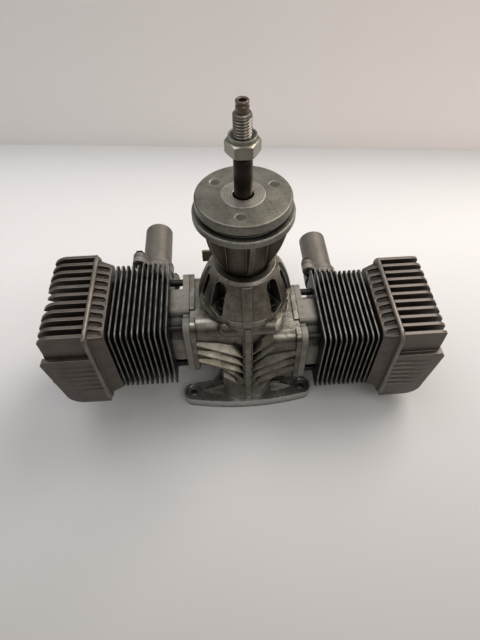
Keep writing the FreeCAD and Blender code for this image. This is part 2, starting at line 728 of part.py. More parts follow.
def nose_profile(grow=0.0):
    """Bell from the joint collar up to the ring round the neck of the prop driver."""
    foot = NOSE_SEAT_Z
    return turned(
        (0, NOSE_Z), (COLLAR_R - 0.6 + grow, NOSE_Z), (COLLAR_R - 0.6 + grow, foot),
        ((NOSE_MID_R + grow, NOSE_MID_Z), (NOSE_RING_R + grow + 0.8, NOSE_TOP_Z - 1.4)),
        (NOSE_RING_R - 0.6, NOSE_TOP_Z), (0, NOSE_TOP_Z))


def nose_rib(angle, half):
    """Crest on a strut, following the bell 1.2 mm proud."""
    slab = box(0, 40, -half, half, NOSE_Z, NOSE_TOP_Z - 1.2)
    return spun(nose_profile(1.2).common(slab), angle)


def build_nose():
    """Nose housing with its windows and bearing seat, its gasket, screws and oil seal."""
    base = collar(NOSE_Z, NOSE_SEAT_Z)
    ribs = [nose_rib(270, RIB_HALF), nose_rib(90, RIB_HALF), nose_rib(0, 1.6), nose_rib(180, 1.6)]
    body = fuse(nose_profile(), base, *ribs)
    tools = by_window(window(), WINDOW_TURN) + by_window(side_slot(), SLOT_TURN)
    seal_top = NOSE_Z + SEAL_T + 0.2
    tools.append(turned(
        (0, NOSE_Z - 1), (NOSE_BEARING_R, NOSE_Z - 1), (NOSE_BEARING_R, seal_top),
        (JOURNAL_R + 1.2, seal_top), (JOURNAL_R + 1.2, NOSE_BEARING_Z),
        (NOSE_BEARING_R + FIT, NOSE_BEARING_Z), (NOSE_BEARING_R + FIT, HUB_FOOT_Z + 0.6),
        (NOSE_OPENING_R, HUB_FOOT_Z + 1.6), (NOSE_OPENING_R, NOSE_TOP_Z + 1), (0, NOSE_TOP_Z + 1)))
    x, seat = NOSE_SCREW_PCR, NOSE_SEAT_Z
    hole = rod(NOSE_SCREW_R + 0.2, (x, 0, CASE_TOP_Z - 1), (x, 0, seat + 1))
    holes = by_window(hole, WINDOW_TURN)
    spot = rod(NOSE_SCREW_HEAD_R + HEAD_CLEARANCE, (x, 0, seat), (x, 0, seat + NOSE_SCREW_HEAD_H + 1))
    keep("nose_housing", cut(body, *(tools + holes + by_window(spot, WINDOW_TURN))))

    gasket = collar(CASE_TOP_Z, NOSE_Z)
    bearing_hole = rod(MAIN_BEARING_R + 0.5, (0, 0, CASE_TOP_Z - 1), (0, 0, NOSE_Z + 1))
    keep("nose_gasket", cut(gasket, bearing_hole, *holes))
    screw = cap_screw((x, 0, seat), (x, 0, CASE_TOP_Z - NOSE_SCREW_GRIP),
                      NOSE_SCREW_HEAD_R, NOSE_SCREW_HEAD_H, NOSE_SCREW_R)
    keep("nose_screws", *by_window(screw, WINDOW_TURN))
    keep("nose_oil_seal", tube(NOSE_BEARING_R - FIT, JOURNAL_R + RUN,
                               (0, 0, NOSE_Z + 0.1), (0, 0, NOSE_Z + SEAL_T)))


# ------------------------------------------------------------------ bearings
def race(r_in, r_out, z0, width, pitch_r, ball_r):
    """Bearing ring with a ball groove."""
    ring = tube(r_out, r_in, (0, 0, z0), (0, 0, z0 + width))
    groove = Part.makeTorus(pitch_r, ball_r + RUN, Vector(0, 0, z0 + width / 2), Vector(0, 0, 1))
    return cut(ring, groove)


def bearing(shaft_r, outer_r, z0, width, ball_r):
    """Outer ring, inner ring, cage and balls of one deep-groove bearing."""
    pitch_r = (shaft_r + outer_r) / 2
    middle = z0 + width / 2
    outer = race(outer_r - RACE_T, outer_r, z0, width, pitch_r, ball_r)
    inner = race(shaft_r + FIT, shaft_r + RACE_T, z0, width, pitch_r, ball_r)
    band = (outer_r - shaft_r) / 2 - RACE_T - 0.35
    rise = width / 2 - 0.5
    cage = tube(pitch_r + band, pitch_r - band, (0, 0, middle - rise), (0, 0, middle + rise))
    pockets = around(rod(ball_r + RUN, (0, 0, middle), (outer_r, 0, middle)), BALL_COUNT)
    balls = around(Part.makeSphere(ball_r, Vector(pitch_r, 0, middle)), BALL_COUNT)
    return outer, inner, cut(cage, *pockets), balls


def build_bearings():
    """Two main bearings in the case and a smaller one in the nose."""
    front = bearing(JOURNAL_R, MAIN_BEARING_R, FRONT_BEARING_Z, MAIN_BEARING_W, MAIN_BALL_R)
    rear = bearing(JOURNAL_R, MAIN_BEARING_R, REAR_BEARING_Z, MAIN_BEARING_W, MAIN_BALL_R)
    nose = bearing(HUB_SEAT_R, NOSE_BEARING_R, NOSE_BEARING_Z, NOSE_BEARING_W, NOSE_BALL_R)
    keep("main_bearing_outers", front[0], rear[0])
    keep("front_bearing_inner", front[1])
    keep("rear_bearing_inner", rear[1])
    keep("main_bearing_cages", front[2], rear[2])
    keep("main_bearing_balls", *(front[3] + rear[3]))
    keep("nose_bearing_outer", nose[0])
    keep("nose_bearing_inner", nose[1])
    keep("nose_bearing_cage", nose[2])
    keep("nose_bearing_balls", *nose[3])


# ------------------------------------------------------------------ crank train
def build_crank():
    """Propeller shaft with its key, and the pressed-up crank: three webs on two pins."""
    seat_r = HUB_SEAT_R
    shoulder_z = NOSE_BEARING_Z - AXIAL_PLAY
    hub_end = DISC_TOP_Z - INSERT_T - SHOULDER_T
    shaft_foot = WEB_FRONT_Z + WEB_T + AXIAL_PLAY
    shaft = turned(
        (0, shaft_foot), (JOURNAL_R, shaft_foot),
        (JOURNAL_R, shoulder_z), (seat_r, shoulder_z), (seat_r, hub_end),
        (STUD_SHAFT_R, hub_end), (STUD_SHAFT_R, THREAD_START_Z),
        (THREAD_R, THREAD_START_Z), (THREAD_R, THREAD_END_Z - 0.8),
        (PILOT_R + 0.5, THREAD_END_Z), (PILOT_R, THREAD_END_Z), (PILOT_R, SHAFT_TIP_Z - 1.6),
        (PILOT_R - 0.4, SHAFT_TIP_Z - 1.3), (PILOT_R - 0.4, SHAFT_TIP_Z - 0.9),
        (PILOT_R, SHAFT_TIP_Z - 0.6), (PILOT_R, SHAFT_TIP_Z), (0, SHAFT_TIP_Z))
    centre = rod(CENTRE_HOLE_R, (0, 0, SHAFT_TIP_Z - CENTRE_HOLE_DEPTH), (0, 0, SHAFT_TIP_Z + 1))
    keep("prop_shaft", cut(shaft, centre, key(FIT)))
    keep("prop_shaft_key", key(0.0))

    def pin_rod(side, r, z0, z1):
        return rod(r, (side * CRANK_THROW, 0, z0), (side * CRANK_THROW, 0, z1))

    hole_r = CRANKPIN_R + FIT
    front_top = WEB_FRONT_Z + WEB_T
    front = rod(WEB_R, (0, 0, WEB_FRONT_Z), (0, 0, front_top))
    reliefs = [rod(RELIEF_R, (-RELIEF_X, y, WEB_FRONT_Z - 1), (-RELIEF_X, y, front_top - RELIEF_FLOOR))
               for y in (-RELIEF_Y, RELIEF_Y)]
    keep("crank_front_web", cut(front, pin_rod(LEFT, hole_r, WEB_FRONT_Z - 1, front_top + 1), *reliefs))

    middle_top = WEB_MIDDLE_Z + WEB_T
    eye = CRANKPIN_R + PIN_EYE_WALL
    slab = fuse(pin_rod(LEFT, eye, WEB_MIDDLE_Z, middle_top), pin_rod(RIGHT, eye, WEB_MIDDLE_Z, middle_top),
                box(-CRANK_THROW, CRANK_THROW, -eye, eye, WEB_MIDDLE_Z, middle_top))
    keep("crank_middle_web", cut(slab, *[pin_rod(side, hole_r, WEB_MIDDLE_Z - 1, middle_top + 1)
                                         for side in (LEFT, RIGHT)]))

    rear_top = WEB_REAR_Z + WEB_T
    rear = fuse(rod(WEB_R, (0, 0, WEB_REAR_Z), (0, 0, rear_top)),
                rod(JOURNAL_R, (0, 0, REAR_BEARING_Z - 1), (0, 0, WEB_REAR_Z)))
    keep("crank_rear_web", cut(rear, pin_rod(RIGHT, hole_r, WEB_REAR_Z, rear_top + 1)))
    keep("crankpins", pin_rod(LEFT, CRANKPIN_R, WEB_MIDDLE_Z, front_top),
         pin_rod(RIGHT, CRANKPIN_R, WEB_REAR_Z + 0.1, middle_top))


def key(grow):
    """Woodruff key between the shaft and the prop driver."""
    z0 = LOWER_FLANGE_Z - KEY_LENGTH
    return box(HUB_SEAT_R - KEY_H / 2, HUB_SEAT_R + KEY_H / 2 - 0.1 + grow, -KEY_W / 2 - grow,
               KEY_W / 2 + grow, z0 - grow, z0 + KEY_LENGTH + grow)


def big_end_r():
    """Radius of the rod's eye over the needle rollers."""
    return CRANKPIN_R + 2 * NEEDLE_R + 2 * FIT


def conrod():
    """Rod along X: big end at the crankpin, I-section shank, small end at the wrist pin."""
    x0, x1 = CRANK_THROW, PIN_X
    half = ROD_WIDTH / 2
    big = big_end_r() + BIG_END_WALL
    body = fuse(rod(big, (x0, 0, -half), (x0, 0, half)),
                rod(SMALL_END_R, (x1, 0, -half), (x1, 0, half)),
                along_z(outline((x0, -big * 0.62), (x1, -SMALL_END_R * 0.66),
                                (x1, SMALL_END_R * 0.66), (x0, big * 0.62)),
                        -half + SHANK_STEP, half - SHANK_STEP))
    panel = outline((x0 + big + 2, -big * 0.30), (x1 - SMALL_END_R - 1.5, -SMALL_END_R * 0.34),
                    (x1 - SMALL_END_R - 1.5, SMALL_END_R * 0.34), (x0 + big + 2, big * 0.30))
    return cut(body, along_z(panel, half - PANEL_DEPTH, half + 1),
               along_z(panel, -half - 1, -half + PANEL_DEPTH),
               rod(big_end_r(), (x0, 0, -half - 1), (x0, 0, half + 1)),
               rod(WRIST_PIN_R + FIT, (x1, 0, -half - 1), (x1, 0, half + 1)))


def needles():
    """Needle rollers round the crankpin, in one ring."""
    pitch = CRANKPIN_R + NEEDLE_R + FIT
    half = ROD_WIDTH / 2 - 0.4
    one = rod(NEEDLE_R, (CRANK_THROW + pitch, 0, -half), (CRANK_THROW + pitch, 0, half))
    return [spun(one, 360.0 * k / NEEDLE_COUNT, centre=(CRANK_THROW, 0, 0)) for k in range(NEEDLE_COUNT)]


def piston():
    """Piston with two ring grooves, pin bosses and a skirt cut away beside the rod."""
    r, groove_r = PISTON_R, PISTON_R - RING_DEPTH
    first, second = CROWN_X - RING_PITCH, CROWN_X - 2 * RING_PITCH
    body = turned_x((PIN_X - PISTON_SKIRT, 0), (PIN_X - PISTON_SKIRT, r), (second, r), (second, groove_r),
                    (second + RING_W, groove_r), (second + RING_W, r), (first, r), (first, groove_r),
                    (first + RING_W, groove_r), (first + RING_W, r), (CROWN_X, r - 0.8), (CROWN_X + 0.6, 0))
    hollow = turned_x((PIN_X - PISTON_SKIRT - 1, 0), (PIN_X - PISTON_SKIRT - 1, r - PISTON_WALL),
                      (CROWN_X - 8, r - PISTON_WALL - 0.4), (CROWN_X - 4.5, 9), (CROWN_X - 4.5, 0))
    boss = rod(WRIST_PIN_R + PIN_BOSS_WALL, (PIN_X, 0, -r + 2), (PIN_X, 0, r - 2))
    rod_gap = ROD_WIDTH / 2 + 0.6
    boss = boss.cut(box(PIN_X - 20, PIN_X + 20, -20, 20, -rod_gap, rod_gap))
    body = fuse(cut(body, hollow), boss.common(rod(r - 1, (PIN_X - 20, 0, 0), (CROWN_X, 0, 0))))
    return cut(body, rod(WRIST_PIN_R + FIT, (PIN_X, 0, -40), (PIN_X, 0, 40)))


def piston_rings():
    """Two split rings, sprung out to the bore."""
    found = []
    for x in (CROWN_X - 2 * RING_PITCH, CROWN_X - RING_PITCH):
        start, end = x + AXIAL_PLAY, x + RING_W - AXIAL_PLAY
        ring = tube(BORE_R - 0.03, PISTON_R - 1.4, (start, 0, 0), (end, 0, 0))
        found.append(ring.cut(box(x - 1, x + 2, 0, RING_GAP, 0, 40)))
    return found


def wrist_pin():
    """Hollow pin through the piston and the rod's small end."""
    half = BORE_R - WRIST_PIN_SHORT
    return tube(WRIST_PIN_R, WRIST_PIN_BORE, (PIN_X, 0, -half), (PIN_X, 0, half))


def circlips():
    """Open wire rings that hold the wrist pin at both ends."""
    half = BORE_R - WRIST_PIN_SHORT
    clips = []
    for s in (-1, 1):
        z0, z1 = sorted((s * (half + 0.1), s * (half + 0.1 + CLIP_T)))
        ring = tube(WRIST_PIN_R - 0.1, WRIST_PIN_R - 0.1 - CLIP_W, (PIN_X, 0, z0), (PIN_X, 0, z1))
        clips.append(ring.cut(box(PIN_X, PIN_X + 9, -0.8, 0.8, -40, 40)))
    return clips


# ------------------------------------------------------------------ cylinders
def exhaust_places():
    """(x, z) of the two exhaust bolts, on a slanting line across the port."""
    return [(PORT_X - EXHAUST_BOLT_X, EXHAUST_BOLT_Z), (PORT_X + EXHAUST_BOLT_X, -EXHAUST_BOLT_Z)]


def exhaust_joint_face():
    """Diamond exhaust joint: a round centre with a lobe round each of its two bolts."""
    solids = [rod(STUB_R + EXHAUST_COLLAR, (PORT_X, 0, 0), (PORT_X, 1, 0))]
    (x0, z0), (x1, z1) = exhaust_places()
    length = math.hypot(x1 - x0, z1 - z0)
    ux, uz = (x1 - x0) / length, (z1 - z0) / length
    e = EXHAUST_LOBE_R
    bar = outline((x0 - uz * e, z0 + ux * e), (x1 - uz * e, z1 + ux * e),
                  (x1 + uz * e, z1 - ux * e), (x0 + uz * e, z0 - ux * e))
    solids.append(along_y(bar, 0, 1))
    solids += [rod(e, (x, 0, z), (x, 1, z)) for x, z in ((x0, z0), (x1, z1))]
    return fuse(*solids)


def exhaust_plate(y0, y1):
    """The exhaust joint's outline, y0 to y1 thick."""
    plate = exhaust_joint_face()
    matrix = FreeCAD.Matrix()
    matrix.scale(1, y1 - y0, 1)
    return moved(plate.transformGeometry(matrix), y=y0)


def cylinder():
    """Barrel on the X axis with its finned block, base flange, spigot and exhaust duct."""
    base = along_x(flange_face(), BARREL_X, BARREL_X + BASE_T)
    spigot = rod(LINER_R - FIT, (BARREL_X - 7, 0, 0), (BARREL_X, 0, 0))
    barrel = rod(BARREL_R, (BARREL_X, 0, 0), (DECK_X, 0, 0))
    transfer_end = FIN_FIRST_X + 2
    transfers = [along_x(rounded_rect(TRANSFER_HALF, TRANSFER_Z, 3.0), BARREL_X, transfer_end),
                 along_x(rounded_rect(TRANSFER_Y, TRANSFER_HALF, 3.0), BARREL_X, transfer_end)]
    block = along_x(rounded_rect(CORE_HALF, CORE_HALF, CORE_CORNER), FIN_FIRST_X, DECK_X)
    fins = []
    for k in range(FIN_COUNT):
        x = FIN_FIRST_X + FIN_PITCH * k - FIN_T / 2
        fins.append(along_x(rounded_rect(FIN_HALF_Y, FIN_HALF_Z, FIN_CORNER), x, x + FIN_T))
        if abs(x + FIN_T / 2 - PORT_X) < DUCT_HALF - 1:
            fins.append(box(x, x + FIN_T, CORE_HALF - 2, PORT_FACE_Y - 3, -DUCT_HALF - 2.5, DUCT_HALF + 2.5))
    duct = rod(DUCT_HALF - 0.5, (PORT_X, BORE_R, 0), (PORT_X, PORT_FACE_Y - 3, 0))
    joint = exhaust_plate(PORT_FACE_Y - 4, PORT_FACE_Y)
    body = fuse(base, spigot, barrel, block, duct, joint, *(transfers + fins))
    tools = [rod(BORE_R, (BARREL_X - 9, 0, 0), (DECK_X + 1, 0, 0)),
             rod(PORT_R, (PORT_X, 0, 0), (PORT_X, PORT_FACE_Y + 1, 0))]
    for y, z in corners_of(STUD_SPACING, STUD_SPACING):
        tools.append(rod(STUD_R + STUD_CLEARANCE, (BARREL_X - 1, y, z), (DECK_X + 1, y, z)))
    for x, z in exhaust_places():
        tap_end = PORT_FACE_Y - EXHAUST_BOLT_GRIP - TAP_SPARE
        tools.append(rod(EXHAUST_BOLT_R + FIT, (x, tap_end, z), (x, PORT_FACE_Y + 1, z)))
    return cut(body, *tools)


def base_gasket():
    """Paper gasket under the cylinder's foot."""
    gasket = along_x(flange_face(), FLANGE_X, BARREL_X)
    holes = [rod(STUD_R + STUD_CLEARANCE, (FLANGE_X - 1, y, z), (BARREL_X + 1, y, z))
             for y, z in corners_of(STUD_SPACING, STUD_SPACING)]
    return cut(gasket, rod(LINER_R + 0.1, (FLANGE_X - 1, 0, 0), (BARREL_X + 1, 0, 0)), *holes)


def head_gasket():
    """Soft metal ring between the bore and the head."""
    return tube(BORE_R + 2.2, BORE_R, (DECK_X, 0, 0), (HEAD_X, 0, 0))


def studs():
    """Four long studs that clamp head and cylinder to the case."""
    x_in = FLANGE_X - STUD_DEPTH + 0.2
    x_out = HEAD_FLOOR_X + NUT_H + 1.5
    return [rod(STUD_R, (x_in, y, z), (x_out, y, z)) for y, z in corners_of(STUD_SPACING, STUD_SPACING)]


def head_nuts():
    """Nuts on the studs, down in the wells between the head's fins."""
    nut = along_x(hexagon(NUT_FLATS), HEAD_FLOOR_X + AXIAL_PLAY, HEAD_FLOOR_X + NUT_H)
    hole = rod(STUD_R + FIT, (HEAD_FLOOR_X - 1, 0, 0), (HEAD_FLOOR_X + NUT_H + 1, 0, 0))
    return [moved(cut(nut, hole), y=y, z=z) for y, z in corners_of(STUD_SPACING, STUD_SPACING)]


# ------------------------------------------------------------------ heads
def head_fin_face():
    """Fin outline in (x, z): round outer top corner and a large round outer foot."""
    tip, top, foot = HEAD_TIP_X, HEAD_FIN_TOP, -RIM_HALF_Z
    r, q = 6.0, HEAD_FOOT_CORNER
    k, m = r * (1 - math.sqrt(0.5)), q * (1 - math.sqrt(0.5))
    inner = RIM_X + 0.5
    return outline(
        (inner, foot), (tip - q - 1.2, foot), ((tip - m - 0.6, foot + m), (tip, foot + q + 3.0)),
        (tip, top - r), ((tip - k, top - k), (tip - r, top)), (inner, top))


def head_fin_places():
    """y of each upright fin's middle."""
    first = -HEAD_FIN_PITCH * (HEAD_FIN_COUNT - 1) / 2
    return [first + HEAD_FIN_PITCH * k for k in range(HEAD_FIN_COUNT)]


def skirt_pockets():
    """Scoops with a round inner end between the short ribs, on the top and on the underside."""
    tools = []
    x_in, x_out = HEAD_X + SCOOP_R + 0.8, RIM_X + 0.1
    low, high, top = SKIRT_HALF_Z - SCOOP_DEPTH + 1.2, RIM_HALF_Z - SCOOP_DEPTH, RIM_HALF_Z + 2
    wedge = outline((x_in - SCOOP_R - 1, low), (x_out, high), (x_out, top), (x_in - SCOOP_R - 1, top))
    for y in head_fin_places()[:-1]:
        y = y + HEAD_FIN_PITCH / 2
        plan = outline((x_out, y - SCOOP_R), (x_out, y + SCOOP_R), (x_in, y + SCOOP_R),
                       ((x_in - SCOOP_R, y), (x_in, y - SCOOP_R)))
        scoop = along_z(plan, low - 1, top).common(along_y(wedge, y - SCOOP_R - 1, y + SCOOP_R + 1))
        tools += [scoop, scoop.mirror(Vector(), Vector(0, 0, 1))]
    return tools


def head():
    """Head on the X axis; its plug leans towards -Z."""
    on_x = turn((0, 1, 0), (0, 0, 1), (1, 0, 0))
    skirt_in = rounded_rect(SKIRT_HALF_Y, SKIRT_HALF_Z, RIM_CORNER).OuterWire
    skirt_out = rounded_rect(RIM_HALF_Y - 1.2, RIM_HALF_Z - 1.2, RIM_CORNER).OuterWire
    skirt_in = placed(skirt_in, on_x, (HEAD_X, 0, 0))
    skirt_out = placed(skirt_out, on_x, (RIM_X, 0, 0))
    skirt = Part.makeLoft([skirt_in, skirt_out], True)
    rim = along_x(rounded_rect(RIM_HALF_Y, RIM_HALF_Z, RIM_CORNER), RIM_X, RIM_X + RIM_T)
    core = STUD_SPACING + HEAD_CORE_PAST_STUD
    floor = along_x(rounded_rect(RIM_HALF_Y - 1.6, core, RIM_CORNER), RIM_X, HEAD_FLOOR_X)
    half_t = HEAD_FIN_T / 2
    fins = [along_y(head_fin_face(), y - half_t, y + half_t) for y in head_fin_places()]
    tip_y = STEP_Y + 1
    crown = along_z(outline((0, -tip_y), (HEAD_TIP_X - HEAD_TIP_DROP, -tip_y),
                            ((HEAD_TIP_X, 0), (HEAD_TIP_X - HEAD_TIP_DROP, tip_y)), (0, tip_y)),
                    -RIM_HALF_Z - 1, RIM_HALF_Z + 1)
    finned = fuse(fins[0], *fins[1:]).common(crown)
    step = along_y(step_face(), -STEP_Y, head_fin_places()[0] + half_t)
    ridges = []
    for k in range(RIDGE_COUNT):
        z = RIDGE_TOP - RIDGE_PITCH * k
        start = RIM_X + RIM_T
        face = outline((start, z - RIDGE_HALF), (start + RIDGE_LENGTH, z), (start, z + RIDGE_HALF))
        ridges.append(along_y(face, -STEP_Y - RIDGE_H, -STEP_Y + 0.5))
    body = fuse(skirt, rim, floor, finned, step, *ridges)

    chamber = Part.makeSphere(BORE_R * 1.5, Vector(HEAD_X + CHAMBER_DEPTH - BORE_R * 1.5, 0, 0))
    chamber = chamber.common(box(HEAD_X - 1, HEAD_X + 20, -40, 40, -40, 40))
    lean = Vector(math.cos(math.radians(PLUG_TILT)), 0, -math.sin(math.radians(PLUG_TILT)))
    seat = plug_seat()
    bore_start = seat - lean * (PLUG_HOLE_LENGTH + 3)
    tools = [chamber, rod(PLUG_HOLE_R, bore_start, seat + lean), rod(PLUG_WELL_R, seat, seat + lean * 60)]
    for y, z in corners_of(STUD_SPACING, STUD_SPACING):
        tools.append(rod(STUD_R + STUD_CLEARANCE, (HEAD_X - 1, y, z), (HEAD_FLOOR_X + 1, y, z)))
        tools.append(rod(NUT_WELL_R, (HEAD_FLOOR_X, y, z), (HEAD_TIP_X + 5, y, z)))
    return cut(body, *(tools + skirt_pockets()))


def step_face():
    """Front panel in (x, z): lower than the fins, longer at its top corner, cut back at its foot."""
    start, foot, q = RIM_X + 0.5, -RIM_HALF_Z, HEAD_FOOT_CORNER
    tip = HEAD_TIP_X - HEAD_TIP_DROP
    m = q * (1 - math.sqrt(0.5))
    return outline(
        (start, foot), (tip - q, foot), ((tip - m, foot + m), (tip, foot + q)),
        (STEP_TIP_X, STEP_TOP - 3.0), (STEP_TIP_X - 1.8, STEP_TOP), (start, STEP_TOP))


def plug_seat():
    """Centre of the plug seat on the X axis head."""
    angle = math.radians(PLUG_TILT)
    return Vector(HEAD_X + PLUG_SEAT * math.cos(angle), 0, -PLUG_SEAT * math.sin(angle))


def both_banks(*solids):
    """Put the same pieces on both cylinder axes."""
    return [on_bank(s, side) for side in (LEFT, RIGHT) for s in solids]


def build_banks():
    """Both cylinders with everything that belongs to them."""
    for side, name in ((LEFT, "left"), (RIGHT, "right")):
        keep("cylinder_" + name, on_bank(cylinder(), side))
        keep("conrod_" + name, on_bank(conrod(), side))
        keep("piston_" + name, on_bank(piston(), side))
        keep("exhaust_stub_" + name, on_bank(exhaust_stub(), side))
        keep("head_" + name, on_bank(head(), side))
    keep("base_gaskets", *both_banks(base_gasket()))
    keep("head_gaskets", *both_banks(head_gasket()))
    keep("cylinder_studs", *both_banks(*studs()))
    keep("head_nuts", *both_banks(*head_nuts()))
    keep("piston_rings", *both_banks(*piston_rings()))
    keep("wrist_pins", *both_banks(wrist_pin()))
    keep("wrist_pin_circlips", *both_banks(*circlips()))
    keep("big_end_needles", *both_banks(*needles()))
    keep("exhaust_gaskets", *both_banks(exhaust_gasket()))
    keep("exhaust_bolts", *both_banks(*exhaust_bolts()))


# ------------------------------------------------------------------ exhaust
def exhaust_gasket():
    """Gasket with the outline of the exhaust joint."""
    plate = exhaust_plate(PORT_FACE_Y, STUB_Y)
    holes = [rod(EXHAUST_BOLT_R + 0.2, (x, PORT_FACE_Y - 1, z), (x, STUB_Y + 1, z))
             for x, z in exhaust_places()]
    return cut(plate, rod(PORT_R, (PORT_X, PORT_FACE_Y - 1, 0), (PORT_X, STUB_Y + 1, 0)), *holes)


def exhaust_stub():
    """Round outlet stub on its two-bolt flange."""
    flange = exhaust_plate(STUB_Y, STUB_Y + EXHAUST_FLANGE_T)
    pipe = rod(STUB_R, (PORT_X, STUB_Y, 0), (PORT_X, STUB_END_Y, 0))
    holes = [rod(EXHAUST_BOLT_R + 0.2, (x, STUB_Y - 1, z), (x, STUB_Y + 9, z)) for x, z in exhaust_places()]
    bore = rod(STUB_R - STUB_WALL, (PORT_X, STUB_Y - 1, 0), (PORT_X, STUB_END_Y + 1, 0))
    return cut(fuse(flange, pipe), bore, *holes)


def exhaust_bolts():
    """Hexagon head bolts that clamp the stub's flange."""
    seat = STUB_Y + EXHAUST_FLANGE_T + AXIAL_PLAY
    head = along_y(hexagon(EXHAUST_BOLT_FLATS), seat, seat + EXHAUST_BOLT_H)
    bolt = fuse(head, rod(EXHAUST_BOLT_R, (0, seat, 0), (0, PORT_FACE_Y - EXHAUST_BOLT_GRIP, 0)))
    return [moved(bolt, x=x, z=z) for x, z in exhaust_places()]


# ------------------------------------------------------------------ prop driver
def build_prop_driver():
    """Gusseted hub with its grooved disc, the thrust ring in it, and the locking propeller nut."""
    groove_low = LOWER_FLANGE_TOP
    groove_top = DISC_TOP_Z - DISC_T
    neck_foot = HUB_FOOT_Z + HUB_FOOT_RISE
    foot_r = HUB_SEAT_R + HUB_FOOT_WALL
    insert_low = DISC_TOP_Z - INSERT_T
    shoulder = insert_low - SHOULDER_T + 0.1
    hub = turned(
        (HUB_SEAT_R + FIT, HUB_FOOT_Z), (foot_r, HUB_FOOT_Z), (foot_r, neck_foot),
        (NECK_R, neck_foot), (NECK_R, NOSE_TOP_Z + 2), (NECK_TOP_R, LOWER_FLANGE_Z - 4),
        ((NECK_TOP_R + 1.4, LOWER_FLANGE_Z - 1.2), (NECK_TOP_R + 4.5, LOWER_FLANGE_Z)),
        (LOWER_FLANGE_R - 0.6, LOWER_FLANGE_Z), (LOWER_FLANGE_R, LOWER_FLANGE_Z + 0.6),
        (LOWER_FLANGE_R, groove_low - 0.5), (LOWER_FLANGE_R - 0.5, groove_low),
        (GROOVE_R, groove_low), (GROOVE_R, groove_top), (DISC_R - 0.4, groove_top),
        (DISC_R, groove_top + 0.4), (DISC_R, DISC_TOP_Z - 0.9),
        ((DISC_R - 0.26, DISC_TOP_Z - 0.26), (DISC_R - 0.9, DISC_TOP_Z)),
        (INSERT_R + FIT, DISC_TOP_Z), (INSERT_R + FIT, insert_low),
        (STUD_SHAFT_R + 0.3, insert_low), (STUD_SHAFT_R + 0.3, shoulder),
        (HUB_SEAT_R + FIT, shoulder))
    gusset = outline((NECK_R - 0.6, NOSE_TOP_Z + 0.6), (NECK_R + 0.4, NOSE_TOP_Z + 0.6),
                     ((GUSSET_KNEE_R, GUSSET_KNEE_Z), (LOWER_FLANGE_R - GUSSET_TIP, LOWER_FLANGE_Z + 0.5)),
                     (NECK_R - 0.6, LOWER_FLANGE_Z + 0.5))
    gusset = along_y(gusset, -GUSSET_T / 2, GUSSET_T / 2)
    hub = fuse(hub, *around(gusset, GUSSET_COUNT, -90 + GUSSET_TURN))
    dimple = rod(DIMPLE_R, (DIMPLE_PCR, 0, DISC_TOP_Z - 0.4), (DIMPLE_PCR, 0, DISC_TOP_Z + 1))
    keep("prop_driver", cut(hub, key(FIT), *around(dimple, 3, -98)))
    keep("thrust_ring", tube(INSERT_R, STUD_SHAFT_R + 0.7, (0, 0, insert_low + 0.02),
                             (0, 0, DISC_TOP_Z + 0.15)))

    top = NUT_Z + PROP_NUT_H
    blank = along_z(hexagon(PROP_NUT_FLATS), NUT_Z, top)
    corner_r = PROP_NUT_FLATS / math.sqrt(3)
    round_off = turned((0, NUT_Z), (corner_r - 0.7, NUT_Z), (corner_r + 0.3, NUT_Z + 0.6),
                       (corner_r + 0.3, top - 0.8), (corner_r - 1.2, top), (0, top))
    collar_top = top + PROP_NUT_COLLAR_H
    rim = rod(PROP_NUT_COLLAR_R, (0, 0, top - 0.5), (0, 0, collar_top))
    nut = fuse(blank.common(round_off), rim)
    recess_r = PROP_NUT_COLLAR_R - PROP_NUT_COLLAR_WALL
    recess = rod(recess_r, (0, 0, top), (0, 0, collar_top + 1))
    keep("prop_nut", cut(nut, recess, rod(THREAD_R + FIT, (0, 0, NUT_Z - 1), (0, 0, collar_top + 1))))
    keep("prop_nut_insert", tube(recess_r - FIT, THREAD_R + FIT, (0, 0, top + 0.02),
                                 (0, 0, collar_top - 0.3)))


# ------------------------------------------------------------------ carburettor
def intake_plate(y0, y1, half_x, half_z):
    """Plate of the intake joint, with its bore and four bolt holes."""
    plate = moved(along_y(rounded_rect(half_x, half_z, 3.0), y0, y1), z=CARB_Z)
    tools = [rod(INTAKE_R, (0, y0 - 1, CARB_Z), (0, y1 + 1, CARB_Z))]
    for x, z in corners_of(CARB_BOLT_X, CARB_BOLT_Z):
        tools.append(rod(SCREW_R + 0.2, (x, y0 - 1, CARB_Z + z), (x, y1 + 1, CARB_Z + z)))
    return cut(plate, *tools)


def flap(y):
    """Butterfly disc on its spindle, edge on to the air."""
    disc = rod(INTAKE_R - 0.35, (0, y, -FLAP_T / 2), (0, y, FLAP_T / 2))
    return moved(disc, z=CARB_Z)


def spindle(y, x0, x1):
    """Round bar across the bore, slotted for its flap."""
    bar = rod(SPINDLE_R, (x0, y, CARB_Z), (x1, y, CARB_Z))
    slot = box(-INTAKE_R, INTAKE_R, y - INTAKE_R, y + INTAKE_R, CARB_Z - FLAP_T / 2, CARB_Z + FLAP_T / 2)
    return cut(bar, slot)


